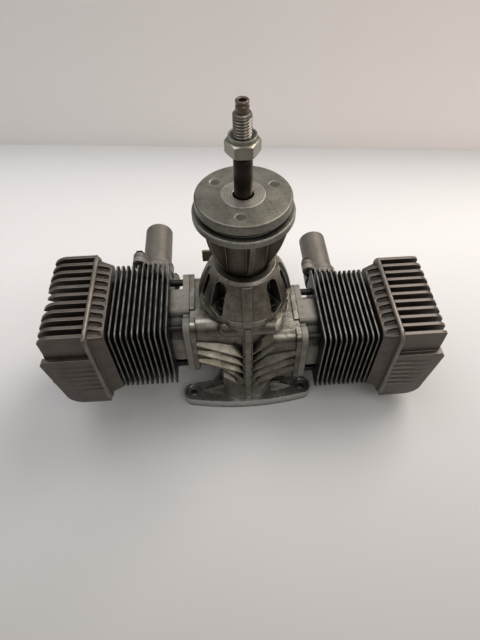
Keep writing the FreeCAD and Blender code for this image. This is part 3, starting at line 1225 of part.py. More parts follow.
def carburettor_body():
    """Bolted flange, narrower trunk and round mouth, with all the bores."""
    bolt_clearance, seat_y = SCREW_R + 0.2, CARB_Y + CARB_FLANGE_T
    flange = moved(along_y(rounded_rect(CARB_HALF_X, CARB_HALF_Z, 3.0), CARB_Y, seat_y), z=CARB_Z)
    trunk = moved(along_y(rounded_rect(TRUNK_HALF, CARB_HALF_Z, 2.0), CARB_Y, CARB_END_Y - 3), z=CARB_Z)
    mouth = rod(INTAKE_R + MOUTH_WALL, (0, CARB_END_Y - MOUTH_LENGTH, CARB_Z), (0, CARB_END_Y, CARB_Z))
    tools = [rod(INTAKE_R, (0, CARB_Y - 1, CARB_Z), (0, CARB_END_Y + 1, CARB_Z))]
    for y in (THROTTLE_Y, CHOKE_Y):
        tools.append(rod(SPINDLE_R + RUN, (-30, y, CARB_Z), (30, y, CARB_Z)))
    for y, z in NEEDLE_SCREW_PLACES:
        tools.append(rod(NEEDLE_SCREW_R + FIT, (TRUNK_HALF - 4.2, y, z), (30, y, z)))
    for x, z in corners_of(CARB_BOLT_X, CARB_BOLT_Z):
        tools.append(rod(bolt_clearance, (x, CARB_Y - 1, CARB_Z + z), (x, seat_y + 1, CARB_Z + z)))
        tools.append(rod(SCREW_HEAD_R + HEAD_CLEARANCE, (x, seat_y, CARB_Z + z),
                         (x, CARB_END_Y + 9, CARB_Z + z)))
    return cut(fuse(flange, trunk, mouth), *tools)


def throttle_lever(arm_x):
    """Tapered lever with a cable hole and a bent tab at its tip."""
    tip_z = CARB_Z + LEVER_REACH
    root_y0, root_y1 = THROTTLE_Y - LEVER_ROOT, THROTTLE_Y + LEVER_ROOT
    root_z0, root_z1 = CARB_Z - LEVER_ROOT, CARB_Z + LEVER_ROOT
    face = outline((root_y0, root_z0), (root_y1, root_z0), (root_y1, root_z1),
                   (THROTTLE_Y + LEVER_TIP, tip_z), (THROTTLE_Y - LEVER_TIP, tip_z), (root_y0, root_z1))
    lever = along_x(face, arm_x, arm_x + LEVER_T)
    tab = box(arm_x - TAB_W + LEVER_T, arm_x + LEVER_T, THROTTLE_Y - LEVER_T / 2, THROTTLE_Y + LEVER_T / 2,
              tip_z - 0.5, tip_z + TAB_W)
    link_z = tip_z - LINK_FROM_TIP
    link_hole = rod(LINK_HOLE_R, (arm_x - 1, THROTTLE_Y, link_z), (arm_x + LEVER_T + 1, THROTTLE_Y, link_z))
    spindle_hole = rod(SPINDLE_R + FIT, (arm_x - 1, THROTTLE_Y, CARB_Z), (arm_x + 3, THROTTLE_Y, CARB_Z))
    return cut(fuse(lever, tab), link_hole, spindle_hole)


def choke_lever(x):
    """Flat handle, round at both ends."""
    tip_z = CARB_Z - CHOKE_REACH
    handle = fuse(rod(HANDLE_R, (x, CHOKE_Y, CARB_Z), (x + LEVER_T, CHOKE_Y, CARB_Z)),
                  box(x, x + LEVER_T, CHOKE_Y - HANDLE_HALF, CHOKE_Y + HANDLE_HALF, tip_z, CARB_Z),
                  rod(HANDLE_TIP_R, (x, CHOKE_Y, tip_z), (x + LEVER_T, CHOKE_Y, tip_z)))
    return cut(handle, rod(SPINDLE_R + FIT, (x - 1, CHOKE_Y, CARB_Z), (x + 3, CHOKE_Y, CARB_Z)))


def needle_screw(y, z):
    """Mixture screw with a slotted head, out to the right of the body."""
    end = TRUNK_HALF + NEEDLE_SCREW_REACH
    slot = box(end - 1.0, end + 1, y - 0.4, y + 0.4, z - 9, z + 9)
    shank = rod(NEEDLE_SCREW_R, (TRUNK_HALF - 4, y, z), (end, y, z))
    return cut(fuse(shank, rod(NEEDLE_SCREW_HEAD_R, (end - NEEDLE_SCREW_HEAD_H, y, z), (end, y, z))), slot)


def build_carburettor():
    """Intake joint, carburettor with its covers and screws, and its throttle and choke."""
    far_y = INSULATOR_Y + INSULATOR_T
    keep("intake_gaskets", intake_plate(PAD_Y, INSULATOR_Y, PAD_HALF_X, PAD_HALF_Z),
         intake_plate(far_y, CARB_Y, PAD_HALF_X, PAD_HALF_Z))
    keep("intake_insulator", intake_plate(INSULATOR_Y, far_y, PAD_HALF_X, PAD_HALF_Z))
    keep("carburettor_body", carburettor_body())
    bolt_y = CARB_Y + CARB_FLANGE_T + AXIAL_PLAY
    keep("carburettor_bolts", *[cap_screw((x, bolt_y, CARB_Z + z), (x, PAD_Y - CARB_BOLT_GRIP, CARB_Z + z))
                                for x, z in corners_of(CARB_BOLT_X, CARB_BOLT_Z)])

    cover_x, cover_y0, cover_y1 = TRUNK_HALF - COVER_STEP, CARB_Y + COVER_START, CARB_END_Y - 4.0
    top, low = CARB_Z + CARB_HALF_Z, CARB_Z - CARB_HALF_Z
    keep("pump_cover", box(-cover_x, cover_x, cover_y0, cover_y1, top, top + COVER_T))
    dome_y, dome_z = (cover_y0 + cover_y1) / 2, low - COVER_T
    dome = rod(DOME_R, (0, dome_y, dome_z - DOME_H), (0, dome_y, dome_z))
    keep("metering_cover", fuse(box(-cover_x, cover_x, cover_y0, cover_y1, low - COVER_T, low), dome))
    barb_y, barb_z = cover_y0 + 4.0, top + COVER_T
    keep("fuel_nipple", tube(NIPPLE_R, NIPPLE_BORE, (0, barb_y, barb_z), (0, barb_y, barb_z + NIPPLE_H)))

    left_end = -TRUNK_HALF - LEVER_OUT
    keep("throttle_spindle", spindle(THROTTLE_Y, left_end, TRUNK_HALF + SPINDLE_PROUD))
    keep("choke_spindle", spindle(CHOKE_Y, -TRUNK_HALF - SPINDLE_PROUD, TRUNK_HALF + HANDLE_OUT + 2.5))
    keep("throttle_flap", flap(THROTTLE_Y))
    keep("choke_flap", flap(CHOKE_Y))
    keep("throttle_lever", throttle_lever(left_end + 1.0))
    keep("choke_lever", choke_lever(TRUNK_HALF + HANDLE_OUT))
    keep("needle_screws", *[needle_screw(y, z) for y, z in NEEDLE_SCREW_PLACES])


# ------------------------------------------------------------------ build
def main():
    """Build every sub-part and write it to its own file."""
    build_crankcase()
    build_nose()
    build_crank()
    build_bearings()
    build_banks()
    build_prop_driver()
    build_carburettor()
    os.makedirs("parts", exist_ok=True)
    for name, shape in nodes.items():
        shape.exportStep(os.path.join("parts", name + ".step"))
        bad = [s for s in shape.Solids if not s.isValid() or s.Volume <= 0]
        print(f"{name:24s} {len(shape.Solids):3d} solids {sum(s.Volume for s in shape.Solids):10.1f} mm3",
              "INVALID" if bad else "")


main()
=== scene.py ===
# %% [markdown]
# # A flat twin model aircraft engine
#
# The solids of this engine come from a CAD model and arrive here as a fixed frame: a die-cast
# case, black finned cylinders, graphite heads and a turned propeller driver.  This file gives
# them light, a camera and finishes, and adds what the solids leave plain: the thread of the
# propeller shaft, the beads and ridges of the heads, casting skin and the oil of a used engine.
# It also shows the front panel of the left head the right way up.

# %% Load the solids
import json
import math
import bmesh
import bpy
import numpy as np
from mathutils import Matrix, Vector


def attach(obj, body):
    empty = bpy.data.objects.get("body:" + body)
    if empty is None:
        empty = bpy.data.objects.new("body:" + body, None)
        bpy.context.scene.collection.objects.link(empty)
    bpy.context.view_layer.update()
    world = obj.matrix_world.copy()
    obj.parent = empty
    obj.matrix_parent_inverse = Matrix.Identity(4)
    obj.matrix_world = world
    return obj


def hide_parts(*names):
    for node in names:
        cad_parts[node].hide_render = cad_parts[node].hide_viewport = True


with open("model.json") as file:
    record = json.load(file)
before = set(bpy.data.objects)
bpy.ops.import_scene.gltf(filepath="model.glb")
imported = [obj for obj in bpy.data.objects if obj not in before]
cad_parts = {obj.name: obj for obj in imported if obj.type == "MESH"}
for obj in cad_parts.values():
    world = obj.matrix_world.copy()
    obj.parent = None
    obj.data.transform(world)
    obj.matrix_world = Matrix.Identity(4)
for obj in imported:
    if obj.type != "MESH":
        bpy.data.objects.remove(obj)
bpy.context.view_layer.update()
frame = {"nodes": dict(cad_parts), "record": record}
nodes = frame["nodes"]
mm = 0.001

# %% [markdown]
# ## Camera and studio
#
# The engine stands on its rear plate on a pale table, and the camera looks down on it from a
# little above the propeller shaft.  A perspective this close makes the front disc look large
# and the table fall away, so the lens is worked out first: everything else is judged through it.

# %% Camera
scene = bpy.context.scene
scene.view_settings.view_transform = "Standard"

CAMERA_PLACE = Vector((-10.11, -170.33, 275.78)) * mm
CAMERA_YAW = math.radians(2.427)
CAMERA_PITCH = math.radians(52.233)
CAMERA_ROLL = math.radians(-1.465)
SENSOR_HEIGHT = 24.0            # millimetres, as a camera's sensor is told
FOCAL_SHARE = 0.736             # focal length as a share of the sensor's height
NEAREST, FARTHEST = 0.01, 20.0  # metres between which the lens sees

lens = bpy.data.cameras.new("camera")
lens.sensor_fit = "VERTICAL"
lens.sensor_height = SENSOR_HEIGHT
lens.lens = FOCAL_SHARE * SENSOR_HEIGHT
lens.clip_start = NEAREST
lens.clip_end = FARTHEST
camera = bpy.data.objects.new("camera", lens)
camera.matrix_world = (
    Matrix.Translation(CAMERA_PLACE)
    @ Matrix.Rotation(-CAMERA_YAW, 4, "Z")
    @ Matrix.Rotation(math.pi / 2 - CAMERA_PITCH, 4, "X")
    @ Matrix.Rotation(CAMERA_ROLL, 4, "Z"))
scene.collection.objects.link(camera)
scene.camera = camera
print("focal length:", round(lens.lens, 2), "mm, height:", round(CAMERA_PLACE.z, 3), "m")

# %% [markdown]
# ## Colours and nodes
#
# A material is a tree of shader nodes.  It could be wired by hand in the editor, but code can
# repeat and explain it.  One function adds any node, sets it and feeds its sockets, so a whole
# finish reads from top to bottom.  Colours are told as sRGB codes, as paint charts give them,
# and made linear here, because light adds up in linear numbers.


# %% Small helpers for colours and nodes
def srgb(code):
    """Hex sRGB colour to linear RGBA, by the standard's curve: straight near black, then a power."""
    parts = [int(code[i:i + 2], 16) / 255 for i in (1, 3, 5)]
    return [c / 12.92 if c <= 0.04045 else ((c + 0.055) / 1.055) ** 2.4 for c in parts] + [1.0]


def add(tree, kind, *inputs, named=None, out=0, **settings):
    """Add one node and give one of its outputs, by number or name.

    kind is its type, with the operation after a space where it has one.  inputs feed its sockets
    in order and named feeds them by name: each is a number, a hex colour or another output.
    """
    kind, _, operation = kind.partition(" ")
    node = tree.nodes.new("ShaderNode" + kind)
    if operation:
        node.operation = operation
    for name, value in settings.items():
        setattr(node, name, value)
    for socket, value in [*enumerate(inputs), *(named or {}).items()]:
        if isinstance(value, bpy.types.NodeSocket):
            tree.links.new(value, node.inputs[socket])
        else:
            node.inputs[socket].default_value = srgb(value) if isinstance(value, str) else value
    return node.outputs[out] if node.outputs else node


def new_material(name, **shader):
    """Empty material with a Principled shader; its plain sockets are set here."""
    material = bpy.data.materials.new(name)
    material.use_nodes = True
    tree = material.node_tree
    tree.nodes.clear()
    light = add(tree, "BsdfPrincipled", named={k.replace("_", " "): v for k, v in shader.items()})
    add(tree, "OutputMaterial", light)
    return material, tree, light.node


print("middle grey #808080 is", round(srgb("#808080")[0], 3), "in linear light")

# %% [markdown]
# ## Table and wall
#
# A pale table and a low wall behind it are all that metal needs round it.  The sheets could be
# one curved backdrop, but a real corner gives the floor an edge to lie against.

# %% Table and wall
TABLE_HALF = 2.0
WALL_LEFT, WALL_RIGHT = (-1.2, 0.403), (1.2, 0.137)     # the wall's foot, seen from above
WALL_HEIGHT = 0.17
CLOUD_SIZE = 0.25               # metres across one cloud of the paint
CLOUD_SHARE = 0.12              # how much of the tone's run the clouds may shift


def flat_sheet(name, corners, finish):
    """One flat face of the stage through the given corners, in metres."""
    mesh = bpy.data.meshes.new(name)
    mesh.from_pydata(corners, [], [tuple(range(len(corners)))])
    mesh.update()
    mesh.materials.append(finish)
    sheet = bpy.data.objects.new(name, mesh)
    scene.collection.objects.link(sheet)
    return sheet


def matt_paint(name, axis, low, high, low_colour, high_colour):
    """Matt paint whose tone runs from low to high along one axis, faintly clouded."""
    material, tree, surface = new_material(name, Roughness=0.75)
    place = add(tree, "TexCoord", out="Object")
    share = add(tree, "MapRange", add(tree, "SeparateXYZ", place, out=axis), low, high)
    cloud = add(tree, "TexNoise", named={"Vector": place, "Scale": 1 / CLOUD_SIZE, "Detail": 3.0})
    uneven = add(tree, "Math MULTIPLY_ADD", cloud, CLOUD_SHARE, -CLOUD_SHARE / 2)
    tone = add(tree, "ValToRGB", add(tree, "Math ADD", share, uneven)).node
    tone.color_ramp.elements[0].color = srgb(low_colour)
    tone.color_ramp.elements[1].color = srgb(high_colour)
    tree.links.new(tone.outputs["Color"], surface.inputs["Base Color"])
    return material


# Painted shadow: the table's tone darkens towards the front.
table_paint = matt_paint("white table, painted shadow in front", "Y", -0.22, 0.12, "#949290", "#cdcccb")
# Painted light: the wall grows paler and warmer towards the right, where the window lamp is.
wall_paint = matt_paint("wall, painted lighter to the right", "X", -0.25, 0.35, "#eceae8", "#fff6f0")
table_corners = [(x * TABLE_HALF, y * TABLE_HALF, 0) for x, y in ((-1, -1), (1, -1), (1, 1), (-1, 1))]
wall_corners = [(*WALL_LEFT, 0), (*WALL_RIGHT, 0), (*WALL_RIGHT, WALL_HEIGHT), (*WALL_LEFT, WALL_HEIGHT)]
flat_sheet("table", table_corners, table_paint)
flat_sheet("wall", wall_corners, wall_paint)
print("stage: table and wall")

# %% [markdown]
# ## Lamps and room
#
# The light is a large soft window on the right, a weak lamp in front and a ceiling that fills
# the shadows.  An image of a sky could light the metal too, but three boxes and a two-tone room
# are easy to move, and bare metal only needs something bright above and something dark beside it.

# %% Lamps and room
ROOM_DIM, ROOM_BRIGHT = 0.05, 0.75      # how far up one looks to see the dim and the bright tone


def lamp(name, place, aim, size, watts, colour):
    """Square soft box that looks from its place to its aim."""
    light = bpy.data.lights.new(name, "AREA")
    light.size = size
    light.energy = watts
    light.color = srgb(colour)[:3]
    holder = bpy.data.objects.new(name, light)
    place, aim = Vector(place), Vector(aim)
    facing = (place - aim).to_track_quat("Z", "Y").to_matrix().to_4x4()
    holder.matrix_world = Matrix.Translation(place) @ facing
    scene.collection.objects.link(holder)
    return holder


def room_world(strength):
    """Bright ceiling over a dim room: metal needs something dark to mirror."""
    world = bpy.data.worlds.new("room")
    world.use_nodes = True
    tree = world.node_tree
    upward = add(tree, "SeparateXYZ", add(tree, "TexCoord", out="Generated"), out="Z")
    height = add(tree, "ValToRGB", upward).node
    height.color_ramp.elements[0].position = ROOM_DIM
    height.color_ramp.elements[0].color = srgb("#6e6963")
    height.color_ramp.elements[1].position = ROOM_BRIGHT
    height.color_ramp.elements[1].color = srgb("#f3f1ef")
    background = tree.nodes["Background"]
    tree.links.new(height.outputs["Color"], background.inputs["Color"])
    background.inputs["Strength"].default_value = strength
    return world


lamp("window", (0.55, 0.38, 0.85), (0, 0, 0.08), 0.6, 9.0, "#fff6ef")
lamp("front", (0.35, -0.45, 0.85), (0.05, 0.3, 0.05), 0.5, 1.8, "#fffaf5")
lamp("ceiling", (-0.35, 0.2, 1.2), (0, 0.1, 0.05), 0.7, 5.0, "#f4f7ff")
scene.world = room_world(0.70)
print("lamps:", len(bpy.data.lights))

# %% [markdown]
# ## Finishes
#
# Every finish is one metal or coating of the real engine.  A cast or coated surface is never one
# colour: it mottles over some millimetres, its skin is grainy, oil and dust settle in corners,
# and handling polishes the edges.  Corners are also darkened with painted shade, and sharp edges
# paled with a painted highlight.  All four are built here from noise, from how closed in a spot
# is, and from how sharp the nearest edge is, so one function can serve every metal and its
# numbers say what the maker did to it and how much shade and highlight are painted on.

# %% Metal and coating
MOTTLE_MM = 9                   # size of the patches in which a finish is paler or darker
SKIN_MM = 0.1                   # how high the grain of the skin stands
ROUGH_SPREAD = 0.07             # how far the roughness strays from its middle
RAY_SAMPLES = 6
# Spans over which a measured value turns one look into the other.
NOISE_SPAN = (0.3, 0.7)         # nearly all of a noise lies between these
MOTTLE_SPAN = (0.32, 0.68)      # noise: darker patch to paler patch
FLECK_SPAN = (0.52, 0.68)       # noise: clean skin to dark fleck
OPEN_SPAN = (0.35, 0.95)        # share of open sky: deep corner to open face
EDGE_SPAN = (0.985, 0.90)       # cosine of face and softened face: flat to sharp edge


def axes_of(tree, place):
    """x, y and z of the piece in millimetres."""
    split = add(tree, "SeparateXYZ", place).node
    return [add(tree, "Math MULTIPLY", split.outputs[k], 1000.0) for k in "XYZ"]


def length_of(tree, first, second):
    """Root of the sum of two squares."""
    squares = [add(tree, "Math MULTIPLY", v, v) for v in (first, second)]
    return add(tree, "Math SQRT", add(tree, "Math ADD", *squares))


def blots(tree, place, size_mm, span, thinnest, thickest):
    """Share of a film that is uneven in blots of some millimetres."""
    noise = add(tree, "TexNoise", named={"Vector": place, "Scale": 1 / (size_mm * mm), "Detail": 4.0})
    return add(tree, "MapRange", noise, *span, thinnest, thickest)


def metal(name, low, high, metallic, rough, grain_mm, bump, grime_and_shade="#15120e", grime_and_shade_mm=3.0,
          grime_and_shade_share=0.75, edge=None, edge_mm=0.35, edge_share=0.7, fleck=0.0, zones=()):
    """Metal or paint with a mottled colour, a fine skin, dirt and painted shade in its corners, and worn
    edges with a painted highlight.

    zones are functions that repaint part of the piece: each takes (tree, place, colour) and
    returns the new colour.
    """
    material, tree, surface = new_material(name, Metallic=metallic)
    place = add(tree, "TexCoord", out="Object")
    patch = add(tree, "TexNoise", named={
        "Vector": place, "Scale": 1 / (MOTTLE_MM * mm), "Detail": 5.0, "Roughness": 0.6})
    tone = add(tree, "ValToRGB", patch).node
    for stop, share, code in zip(tone.color_ramp.elements, MOTTLE_SPAN, (low, high)):
        stop.position = share
        stop.color = srgb(code)
    colour = tone.outputs["Color"]
    for zone in zones:
        colour = zone(tree, place, colour)
    grain = add(tree, "TexNoise", named={"Vector": place, "Scale": 1 / (grain_mm * mm), "Detail": 3.0})
    if fleck:
        colour = add(tree, "MixRGB", add(tree, "MapRange", grain, *FLECK_SPAN, 0.0, fleck), colour, grime_and_shade)
    # Dirt and painted shade: the more closed in a spot is, the more its colour is mixed towards the dark
    # grime colour.
    sky = add(tree, "AmbientOcclusion", named={"Distance": grime_and_shade_mm * mm}, out="AO", samples=RAY_SAMPLES)
    colour = add(tree, "MixRGB", add(tree, "MapRange", sky, *OPEN_SPAN, grime_and_shade_share, 0.0), colour, grime_and_shade)
    soft = add(tree, "Bevel", named={"Radius": edge_mm * mm}, samples=RAY_SAMPLES)
    # Wear and painted highlight: near a sharp edge the colour is mixed towards the edge colour.
    if edge:
        flat = add(tree, "NewGeometry", out="Normal")
        agree = add(tree, "VectorMath DOT_PRODUCT", soft, flat, out="Value")
        colour = add(tree, "MixRGB", add(tree, "MapRange", agree, *EDGE_SPAN, 0.0, edge_share), colour, edge)
    tree.links.new(colour, surface.inputs["Base Color"])
    dull = add(tree, "MapRange", patch, *NOISE_SPAN, rough - ROUGH_SPREAD, rough + ROUGH_SPREAD)
    tree.links.new(dull, surface.inputs["Roughness"])
    skin = add(tree, "Bump", named={
        "Height": grain, "Normal": soft, "Strength": bump, "Distance": SKIN_MM * mm})
    tree.links.new(skin, surface.inputs["Normal"])
    return material


print("finishes mottle over", MOTTLE_MM, "mm")

# %% [markdown]
# Oil spreads over warm castings and bakes to a brown film, in patches, with darker runs where
# it went down the sides.  It could be painted on by hand, but two noises of different sizes give
# it to every casting at once: a wide one for the patches and one drawn out upright for the runs.

# %% Oil on the castings
FILM_MM, RUN_MM = 13, 3         # width of the oil's patches and of its runs
RUN_STRETCH = 0.25              # upright scale of the runs: a quarter makes them four times longer
FILM_SPAN, FILM_SHARE = (0.50, 0.66), 0.62              # noise: bare to oiled, and how thick at most
RUN_SPAN, RUN_SHARE = (0.58, 0.70), 0.45
# How much paler the rear plate is painted, as painted light.
LIT_FOOT_SHARE = 0.85
PLATE_PALEST, PLATE_TOP = 6.5, 11.0                      # heights between which the plate is painted paler, fully at the first
RIB_Y, RIB_Z = (-17.0, -20.0), (9.0, 14.0)              # the ribs lie in front of and above these


def oily(tree, place, colour):
    """Brown film of burnt oil in patches of some millimetres, with a few dark runs down the sides."""
    cloud = add(tree, "TexNoise", named={
        "Vector": place, "Scale": 1 / (FILM_MM * mm), "Detail": 6.0, "Roughness": 0.65})
    upright = add(tree, "Mapping", named={"Vector": place, "Scale": (1.0, 1.0, RUN_STRETCH)})
    run = add(tree, "TexNoise", named={"Vector": upright, "Scale": 1 / (RUN_MM * mm), "Detail": 3.0})
    film = add(tree, "MapRange", cloud, *FILM_SPAN, 0.0, FILM_SHARE)
    runs = add(tree, "MapRange", run, *RUN_SPAN, 0.0, RUN_SHARE)
    colour = add(tree, "MixRGB", film, colour, "#5c5140")
    return add(tree, "MixRGB", runs, colour, "#3f372b")


def lit_foot(tree, place, colour):
    """Painted light: the rear plate is painted paler and greyer than the case above it."""
    wiped = add(tree, "MapRange", axes_of(tree, place)[2], PLATE_TOP, PLATE_PALEST, 0.0, LIT_FOOT_SHARE)
    return add(tree, "MixRGB", wiped, colour, "#c6c8c4")


def oiled_ribs(tree, place, colour):
    """Oil runs down to the ribs that stand out in front and dries there in a brown film."""
    x, y, z = axes_of(tree, place)
    front = add(tree, "Math MULTIPLY", add(tree, "MapRange", y, *RIB_Y), add(tree, "MapRange", z, *RIB_Z))
    film = blots(tree, place, 6, NOISE_SPAN, 0.45, 0.9)
    return add(tree, "MixRGB", add(tree, "Math MULTIPLY", front, film), colour, "#4d483d")


print("oil: patches of", FILM_MM, "mm, runs of", RUN_MM, "mm")

# %% [markdown]
# The cylinders are coated black only where they have fins.  Below the fins they are bare
# casting, like the case, and the thin rims of the fins are rubbed bright.  Where the coat stops
# is a place on the engine, so the finish is told in millimetres where it is.

# %% Black fins with bare feet
LEFT_AXIS, RIGHT_AXIS = 56.0, 41.6      # height of the two cylinder axes, mm
COAT_STARTS = 41.4                      # distance from the crank axis where the black coat starts
COAT_EDGE = 0.5                         # width over which the coat thins out
PORT_STARTS, PORT_EDGE = 27.2, 1.0      # behind this the exhaust port is bare
FIN_HALF_Y, FIN_HALF_Z, FIN_CORNER = 26.5, 25.5, 3.5
RIM_WIDTH = 0.45
FIN_FIRST, FIN_PITCH = 42.3, 2.925
FIN_CREST = 0.34                        # half width of the rubbed line on a fin's rim
RUB_SPAN = (0.35, 0.65)                 # noise: coat left on the rim to rim rubbed bare


def fin_rims(axis_z):
    """Bright rims: the band inside the fin's rounded outline, where that distance is small.

    With q = (max(|y| - (half_y - r), 0), max(|z - axis| - (half_z - r), 0)) the distance
    outside the outline is |q| - r, so a rim is where |q| - r > -width.
    """
    def zone(tree, place, colour):
        x, y, z = axes_of(tree, place)
        away = add(tree, "Math ABSOLUTE", x)
        across = add(tree, "Math SUBTRACT", add(tree, "Math ABSOLUTE", y), FIN_HALF_Y - FIN_CORNER)
        height = add(tree, "Math ABSOLUTE", add(tree, "Math SUBTRACT", z, axis_z))
        height = add(tree, "Math SUBTRACT", height, FIN_HALF_Z - FIN_CORNER)
        across, height = (add(tree, "Math MAXIMUM", v, 0.0) for v in (across, height))
        outside = add(tree, "Math SUBTRACT", length_of(tree, across, height), FIN_CORNER)
        rim = add(tree, "MapRange", outside, -RIM_WIDTH, -RIM_WIDTH * 0.4)
        rubbed = blots(tree, place, 5, RUB_SPAN, 0.2, 0.9)
        along = add(tree, "Math SUBTRACT", away, FIN_FIRST - FIN_PITCH / 2)
        along = add(tree, "Math SUBTRACT", add(tree, "Math MODULO", along, FIN_PITCH), FIN_PITCH / 2)
        crest = add(tree, "MapRange", add(tree, "Math ABSOLUTE", along), FIN_CREST, FIN_CREST * 0.5)
        rim = add(tree, "Math MULTIPLY", rim, add(tree, "Math MULTIPLY", crest, rubbed))
        colour = add(tree, "MixRGB", rim, colour, "#858078")
        bare = add(tree, "MapRange", away, COAT_STARTS, COAT_STARTS - COAT_EDGE)
        colour = add(tree, "MixRGB", bare, colour, oily(tree, place, "#757169"))
        port = add(tree, "MapRange", y, PORT_STARTS, PORT_STARTS + PORT_EDGE)
        return add(tree, "MixRGB", port, colour, "#6f6b64")
    return zone


print("black coat starts", COAT_STARTS, "mm from the crank's axis")

# %% [markdown]
# The driver's neck runs oily, and the flange above shades it: the oil it flings and a painted
# shadow are drawn together as a dark brown film.  The film is told by height, so it stops where the flange
# does.

# %% Oily neck of the propeller driver, with painted shadow
NECK_TOP, NECK_DARKEST = 133.0, 129.0     # heights at which the oil and painted shadow start and are complete


def oily_shaded_neck(tree, place, colour):
    """Brown oil film and painted shadow below the lower flange, thinner in blots of some millimetres."""
    below = add(tree, "MapRange", axes_of(tree, place)[2], NECK_TOP, NECK_DARKEST)
    share = add(tree, "Math MULTIPLY", below, blots(tree, place, 4, NOISE_SPAN, 0.7, 0.97))
    return add(tree, "MixRGB", share, colour, "#544b40")


print("oily neck: below", NECK_TOP, "mm")

# %% [markdown]
# Three round marks lie in the driver's face, where ejector pins pushed the casting out of its
# die.  The solids have the recesses, so only the painted shade inside them and a painted highlight
# on their lips are drawn, by how far a spot is from the middle of each.

# %% Dimples in the driver's face
DIMPLE_COUNT = 3
DIMPLE_CIRCLE, DIMPLE_R, DIMPLE_FIRST = 15.5, 2.5, -98.0
DIMPLE_LIP = 0.3                        # the lip is this far outside the recess
LIP_HIGHLIGHT_SPAN, LIP_HIGHLIGHT_SHARE = (0.7, 0.1), 0.30  # distance from the lip: no painted highlight to full, and how much
RECESS_SHADE_EDGE, RECESS_SHADE_SHARES = 1.4, (0.1, 0.8)                # painted shade deepens over this width, between these
FACE_Z = (145.0, 145.4)                 # only what lies above these heights is the driver's face


def dimples(tree, place, colour):
    """Three ejector marks: painted shade inside each, and a painted highlight on the lip round it."""
    x, y, z = axes_of(tree, place)
    face = add(tree, "MapRange", z, *FACE_Z)
    for k in range(DIMPLE_COUNT):
        turn = math.radians(DIMPLE_FIRST + 360 / DIMPLE_COUNT * k)
        dx = add(tree, "Math SUBTRACT", x, DIMPLE_CIRCLE * math.cos(turn))
        dy = add(tree, "Math SUBTRACT", y, DIMPLE_CIRCLE * math.sin(turn))
        away = length_of(tree, dx, dy)
        off_lip = add(tree, "Math ABSOLUTE", add(tree, "Math SUBTRACT", away, DIMPLE_R + DIMPLE_LIP))
        lip = add(tree, "Math MULTIPLY", face, add(tree, "MapRange", off_lip, *LIP_HIGHLIGHT_SPAN, 0.0, LIP_HIGHLIGHT_SHARE))
        inside = add(tree, "MapRange", away, DIMPLE_R, DIMPLE_R - RECESS_SHADE_EDGE, *RECESS_SHADE_SHARES)
        recess_shade = add(tree, "Math MULTIPLY", face, inside)
        # A painted highlight on each lip, then painted shade inside each recess.
        colour = add(tree, "MixRGB", lip, colour, "#938f84")
        colour = add(tree, "MixRGB", recess_shade, colour, "#4f4b3d")
    return colour


print("dimples:", DIMPLE_COUNT)

# %% [markdown]
# The ring in the driver's face was faced on a lathe and has been rubbed by every propeller
# since, so it is brighter than the casting round it and scratched in circles.

# %% Scratched thrust ring
CIRCLES_PER_MM = 3.2
SCRATCH_SPAN, SCRATCH_SHARE = (0.4, 0.62), 0.8


def turned_circles(tree, place, colour):
    """Fine circles about the shaft: noise that depends on the radius alone."""
    x, y, z = axes_of(tree, place)
    line = add(tree, "CombineXYZ", length_of(tree, x, y))
    scratch = add(tree, "TexNoise", named={"Vector": line, "Scale": CIRCLES_PER_MM, "Detail": 4.0})
    share = add(tree, "MapRange", scratch, *SCRATCH_SPAN, 0.0, SCRATCH_SHARE)
    return add(tree, "MixRGB", share, colour, "#55514a")


print("circles to a millimetre:", CIRCLES_PER_MM)

# %% [markdown]
# ## The engine's metals
#
# Each finish below is a common one: its comment says what it gives the eye.  A cast skin has a
# grain of about 0.3 mm, too fine to show at this size, so it is drawn about 1.2 mm coarse.

# %% Castings
CAST_GRAIN = 1.2
TURNED_GRAIN = 0.5

finishes = {}
# Die-cast aluminium: grey and glossy where it faces the light, brown with oil and darkened with painted shade
# in every corner.
finishes["case_alloy"] = metal(
    "die-cast aluminium", "#7b786f", "#9f9c93", 0.93, 0.26, CAST_GRAIN, 0.5, grime_and_shade="#1a140c",
    grime_and_shade_mm=6.0, grime_and_shade_share=0.9, edge_mm=0.3, fleck=0.1, zones=[oily, oiled_ribs, lit_foot])
# The same alloy, cast and then faced: duller and more even, a fine mottle all over, with pale edges of wear
# and painted highlight.
finishes["driver_alloy"] = metal(
    "cast and turned aluminium", "#69675f", "#838077", 0.8, 0.46, CAST_GRAIN, 0.8, grime_and_shade="#1d1811",
    grime_and_shade_mm=4.0, grime_and_shade_share=0.85, edge="#bdb9af", edge_mm=0.5, fleck=0.35, zones=[oily_shaded_neck, dimples])
# Cast aluminium that has seen heat: flat, even and brownish, with hardly a highlight.
finishes["stub_alloy"] = metal(
    "heat-stained cast aluminium", "#5f5b54", "#736e67", 0.7, 0.52, CAST_GRAIN, 0.4, fleck=0.2)
# Graphite enamel: a dark satin film, worn thin and grey on edges and given a painted highlight there, so that
# each fin shows a pale line.
finishes["head_paint"] = metal(
    "graphite engine enamel", "#453e38", "#5b534c", 0.5, 0.38, CAST_GRAIN, 0.35, grime_and_shade="#1d1a16",
    grime_and_shade_mm=6.0, grime_and_shade_share=0.75, edge="#9a938a", edge_mm=0.5, edge_share=0.8, fleck=0.15)
# The same enamel where it stands proud, rubbed and painted paler as a painted highlight, so the light seems
# to run along it in grey.
finishes["rubbed_enamel"] = metal(
    "rubbed graphite enamel with painted highlight", "#5f5952", "#7b746c", 0.6, 0.36, CAST_GRAIN, 0.3, grime_and_shade="#1d1a16", grime_and_shade_mm=3.0,
    grime_and_shade_share=0.6, edge_mm=0.3)
